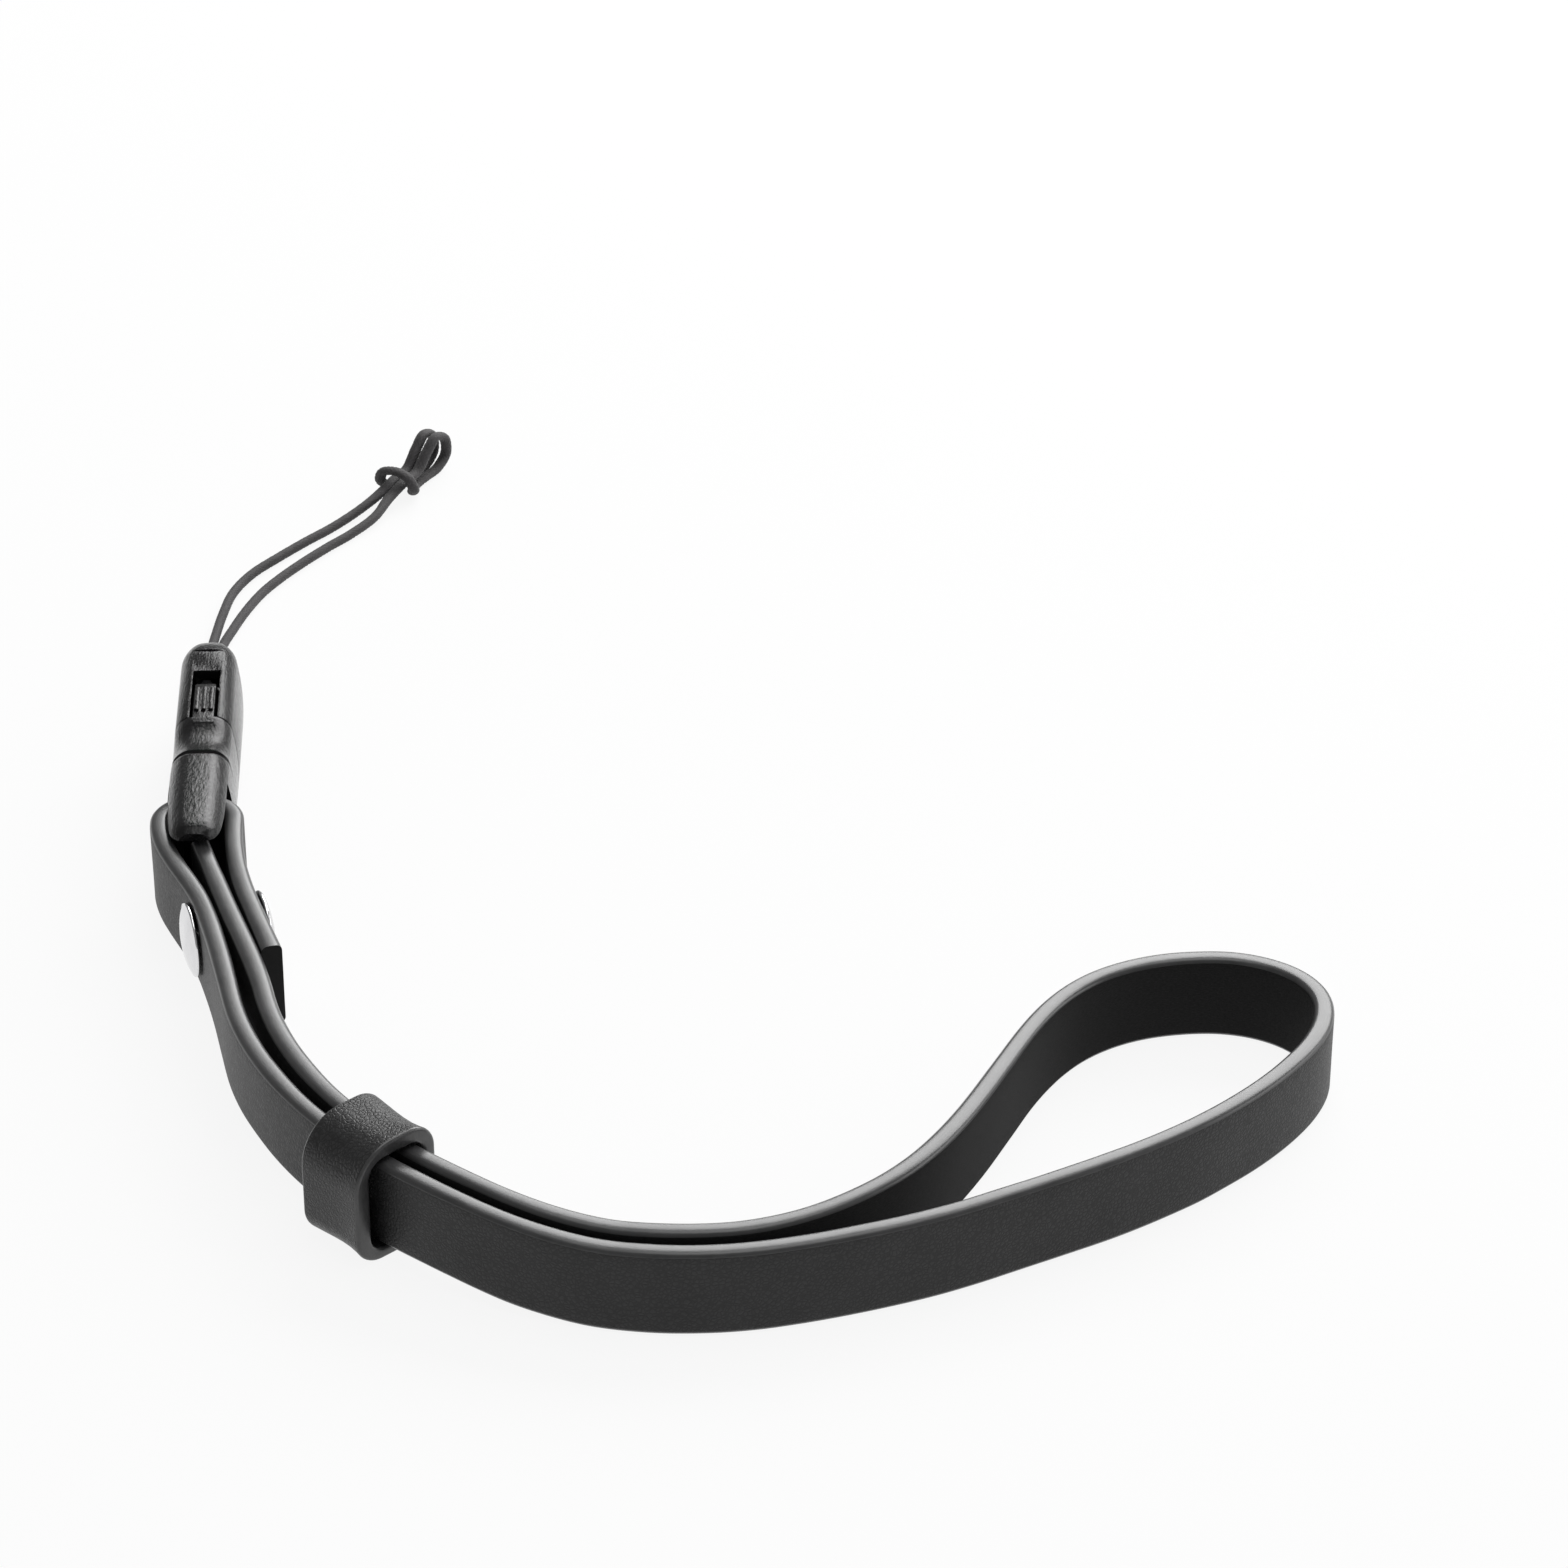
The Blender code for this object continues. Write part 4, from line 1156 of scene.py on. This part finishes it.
socket_straight = SOCKET_LENGTH - SOCKET_DOME
dome_stations = []
for step in range(HOOD_STEPS + 1):
    angle = HOOD_TURN * step / HOOD_STEPS
    end = socket_straight + SOCKET_DOME * math.sin(angle) / math.sin(HOOD_TURN)
    thick = HALF_THICK * (HOOD_END_THICK + (1 - HOOD_END_THICK) * math.cos(angle))
    wide = HALF_WIDE * (HOOD_END_WIDE + (1 - HOOD_END_WIDE) * math.cos(angle))
    dome_stations.append((end, thick, wide))
hood_size = (CLIP_THICKNESS, socket_straight, CLIP_WIDTH)
socket = soft_block("clip_hood", hood_size, (0, socket_straight / 2, 0), CLIP_CORNER, 1, 8)
with editing(socket):
    pick("FACE", faces_towards((0, 1, 0)))
    pull_through(dome_stations)
bulge_faces(socket)
inside = SOCKET_LENGTH - SOCKET_END_WALL
over = 1.0 * MM
cut(
    socket,
    soft_block(
        "hood hollow",
        (CLIP_THICKNESS - 2 * SOCKET_SIDE_WALL, inside + over, CLIP_WIDTH - 2 * SOCKET_NARROW_WALL),
        (0, (inside - over) / 2, 0),
        HOLLOW_CORNER,
    ),
)
panel_size = (PANEL_WIDTH, PANEL_LENGTH + over, over)
for side in (-1, 1):
    panel = soft_block("panel", panel_size, (0, (PANEL_LENGTH - over) / 2, 0), PANEL_CORNER, 2, 6)
    panel.location.z = side * (HALF_WIDE + over / 2 - PANEL_DEPTH)
    cut(socket, panel)
window_size = (WINDOW_WIDTH, WINDOW_LENGTH + over, CLIP_WIDTH + 2 * over)
cut(socket, new_block("windows", window_size, (0, (WINDOW_LENGTH - over) / 2, 0)))
cut(
    socket,
    soft_block(
        "cord hole",
        (CORD_HOLE, SOCKET_END_WALL + 2 * over, CORD_HOLE + CORD_PITCH),
        (0, SOCKET_LENGTH - SOCKET_END_WALL / 2, 0),
        0.45 * CORD_HOLE,
    ),
)
soften(socket, SOFT_EDGE, 38)
print("the socket has", len(socket.data.polygons), "faces")

# %% The plug's body
SEAT = 0.3 * MM
SEAM = 0.2 * MM
SIDE_CLEARANCE = 0.4 * MM
BODY_LENGTH = 22.9 * MM
GROOVE_PLACE = 7.3 * MM
GROOVE_WIDTH = 0.9 * MM
GROOVE_DEPTH = 0.45 * MM
RAMP_DEPTH = 0.7 * MM
SLOT_CLEARANCE = 0.45 * MM
SLOT_TOP = BEND_PLACE - BEND_RADIUS - LEATHER_THICKNESS / 2 - SLOT_CLEARANCE
BAR_IN_RAIL = 0.7 * MM
saddle = HALF_WIDE - RAMP_DEPTH
# place along y, half a thickness, half a width
BODY_STATIONS = (
    (-SEAM, HALF_THICK, HALF_WIDE - 0.05 * MM),
    (-GROOVE_PLACE * 0.2, HALF_THICK, saddle + RAMP_DEPTH * 0.5),
    (-GROOVE_PLACE * 0.35, HALF_THICK, saddle + RAMP_DEPTH * 0.15),
    (-GROOVE_PLACE * 0.5, HALF_THICK, saddle),
    (-GROOVE_PLACE * 0.66, HALF_THICK, saddle + RAMP_DEPTH * 0.12),
    (-GROOVE_PLACE * 0.8, HALF_THICK, HALF_WIDE - RAMP_DEPTH * 0.6),
    (-GROOVE_PLACE + GROOVE_WIDTH * 0.62, HALF_THICK * 1.01, HALF_WIDE - 0.2 * MM),
    (-GROOVE_PLACE + GROOVE_WIDTH / 2, HALF_THICK * 1.01, HALF_WIDE - 0.15 * MM),
    (-GROOVE_PLACE + GROOVE_WIDTH / 4, HALF_THICK * 1.01, HALF_WIDE - GROOVE_DEPTH),
    (-GROOVE_PLACE - GROOVE_WIDTH / 4, HALF_THICK * 1.02, HALF_WIDE - GROOVE_DEPTH),
    (-GROOVE_PLACE - GROOVE_WIDTH / 2, HALF_THICK * 1.02, HALF_WIDE - 0.05 * MM),
    (-GROOVE_PLACE - GROOVE_WIDTH * 0.7, HALF_THICK * 1.02, HALF_WIDE),
    (-GROOVE_PLACE - GROOVE_WIDTH, HALF_THICK * 1.02, HALF_WIDE),
    (-GROOVE_PLACE - GROOVE_WIDTH * 2, HALF_THICK * 1.03, HALF_WIDE),
    (-SLOT_TOP, HALF_THICK * 1.03, HALF_WIDE),
    (-SLOT_TOP - 2.6 * MM, HALF_THICK * 1.03, HALF_WIDE),
    (-BEND_PLACE, HALF_THICK * 1.02, HALF_WIDE),
    (-BAR_PLACE + 1.0 * MM, HALF_THICK, HALF_WIDE),
    (-BODY_LENGTH + 2.6 * MM, HALF_THICK * 0.95, HALF_WIDE),
    (-BODY_LENGTH + 1.6 * MM, HALF_THICK * 0.9, HALF_WIDE - 0.02 * MM),
    (-BODY_LENGTH + 0.9 * MM, HALF_THICK * 0.83, HALF_WIDE - 0.12 * MM),
    (-BODY_LENGTH + 0.4 * MM, HALF_THICK * 0.75, HALF_WIDE - 0.28 * MM),
    (-BODY_LENGTH, HALF_THICK * 0.62, HALF_WIDE - 0.6 * MM),
)
first_depth = 0.3 * MM
body_size = (CLIP_THICKNESS, first_depth, 2 * BODY_STATIONS[0][2])
plug = soft_block("clip_body", body_size, (0, -SEAM - first_depth / 2, 0), CLIP_CORNER, 1, 8)
with editing(plug):
    pick("FACE", faces_towards((0, -1, 0)))
    pull_through(((-SEAM - first_depth, *BODY_STATIONS[0][1:]),) + BODY_STATIONS[1:])
bulge_faces(plug)
between_rails = LEATHER_WIDTH + 2 * SIDE_CLEARANCE
slot_size = (2 * CLIP_THICKNESS, BODY_LENGTH - SLOT_TOP + over, between_rails)
cut(plug, new_block("strap slot", slot_size, (0, -SLOT_TOP - slot_size[1] / 2, 0)))
soften(plug, SOFT_EDGE, 38)
bar = new_cylinder(BAR_RADIUS, between_rails + 2 * BAR_IN_RAIL, (0, -BAR_PLACE, 0))
cut(plug, bar, "UNION")
print("the plug's body has", len(plug.data.polygons), "faces")

# %% Its arms, pads and tongue
ARM_THICKNESS = 1.3 * MM
ARM_LENGTH = 8.6 * MM
ARM_SHOULDER = 6.8 * MM
TONGUE_LENGTH = 8.2 * MM
TONGUE_HEIGHT = 3.2 * MM
TONGUE_CORNER = 0.4 * MM
ROOT = 1.2 * MM
RIDGE_HEIGHT = 0.7 * MM
RIDGE_SINK = 0.1 * MM
RIDGE_CORNER = 0.2 * MM
ARM_EDGE = 0.16 * MM
# end along the arm, sink towards the middle, share of the width, share of the thickness
ARM_TAPER = (
    (ARM_SHOULDER + 0.5 * MM, 0.12 * MM, 0.62, 0.85),
    (ARM_LENGTH, 0.2 * MM, 0.55, 0.7),
)
arm_width = WINDOW_WIDTH - 2 * SEAT
arm_top = HALF_WIDE - 0.15 * MM
arm_size = (arm_width, ARM_SHOULDER + ROOT, ARM_THICKNESS)
for side in (-1, 1):
    middle = side * (arm_top - ARM_THICKNESS / 2)
    arm = new_block("arm", arm_size, (0, (ARM_SHOULDER - ROOT) / 2, middle))
    with editing(arm):
        pick("FACE", faces_towards((0, 1, 0)))
        start = ARM_SHOULDER
        for end, sink, wide, thick in ARM_TAPER:
            pull_face((0, end - start, -side * sink), (wide, 1.0, thick), (0, end, middle))
            start = end
    soften(arm, ARM_EDGE, 25)
    cut(plug, arm, "UNION")
    for place in (-1, 0, 1):
        ridge = soft_block(
            "ridge",
            (arm_width / 4.4, ARM_SHOULDER * 0.66, RIDGE_HEIGHT),
            (place * arm_width / 3.1, ARM_SHOULDER * 0.52, side * (arm_top - RIDGE_SINK)),
            RIDGE_CORNER,
        )
        cut(plug, ridge, "UNION")
tongue = soft_block(
    "tongue",
    (CLIP_THICKNESS - 2 * SOCKET_SIDE_WALL - 2 * SEAT, TONGUE_LENGTH + ROOT, TONGUE_HEIGHT),
    (0, (TONGUE_LENGTH - ROOT) / 2, 0),
    TONGUE_CORNER,
)
cut(plug, tongue, "UNION")
print("the plug has", len(plug.data.polygons), "faces")

# %% The clip's finish
moulding = Finish("gloss black moulding")
moulding_where = moulding.place()
orange_peel = moulding.noise(moulding.stretch(moulding_where, (1.5, 0.55, 1.5)), 1.7, 3.0)
scuffs = moulding.noise(moulding.stretch(moulding_where, (1.0, 0.45, 1.0)), 4.5, 4.0, 0.65)
handling = moulding.noise(moulding_where, 0.45, 3.0)
moulding.set(
    base_color=moulding.mix(handling, (0.004, 0.004, 0.0042), (0.0085, 0.0085, 0.009)),
    roughness=0.05 + handling * 0.05 + scuffs * 0.07,
    specular_ior_level=0.3,
    normal=moulding.bump(scuffs, 0.055 * MM, 0.8, moulding.bump(orange_peel, 0.1 * MM, 0.7)),
)
for piece, node in ((socket, "clip_socket"), (plug, "clip_plug")):
    settle(piece, placed(CLIP_MOUTH, CLIP_LEAN, MID_HEIGHT))
    shade_smooth(piece, 32)
    piece.data.materials.append(moulding.material)
    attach(piece, "strap")
    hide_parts(node)
print("the clip is in place")
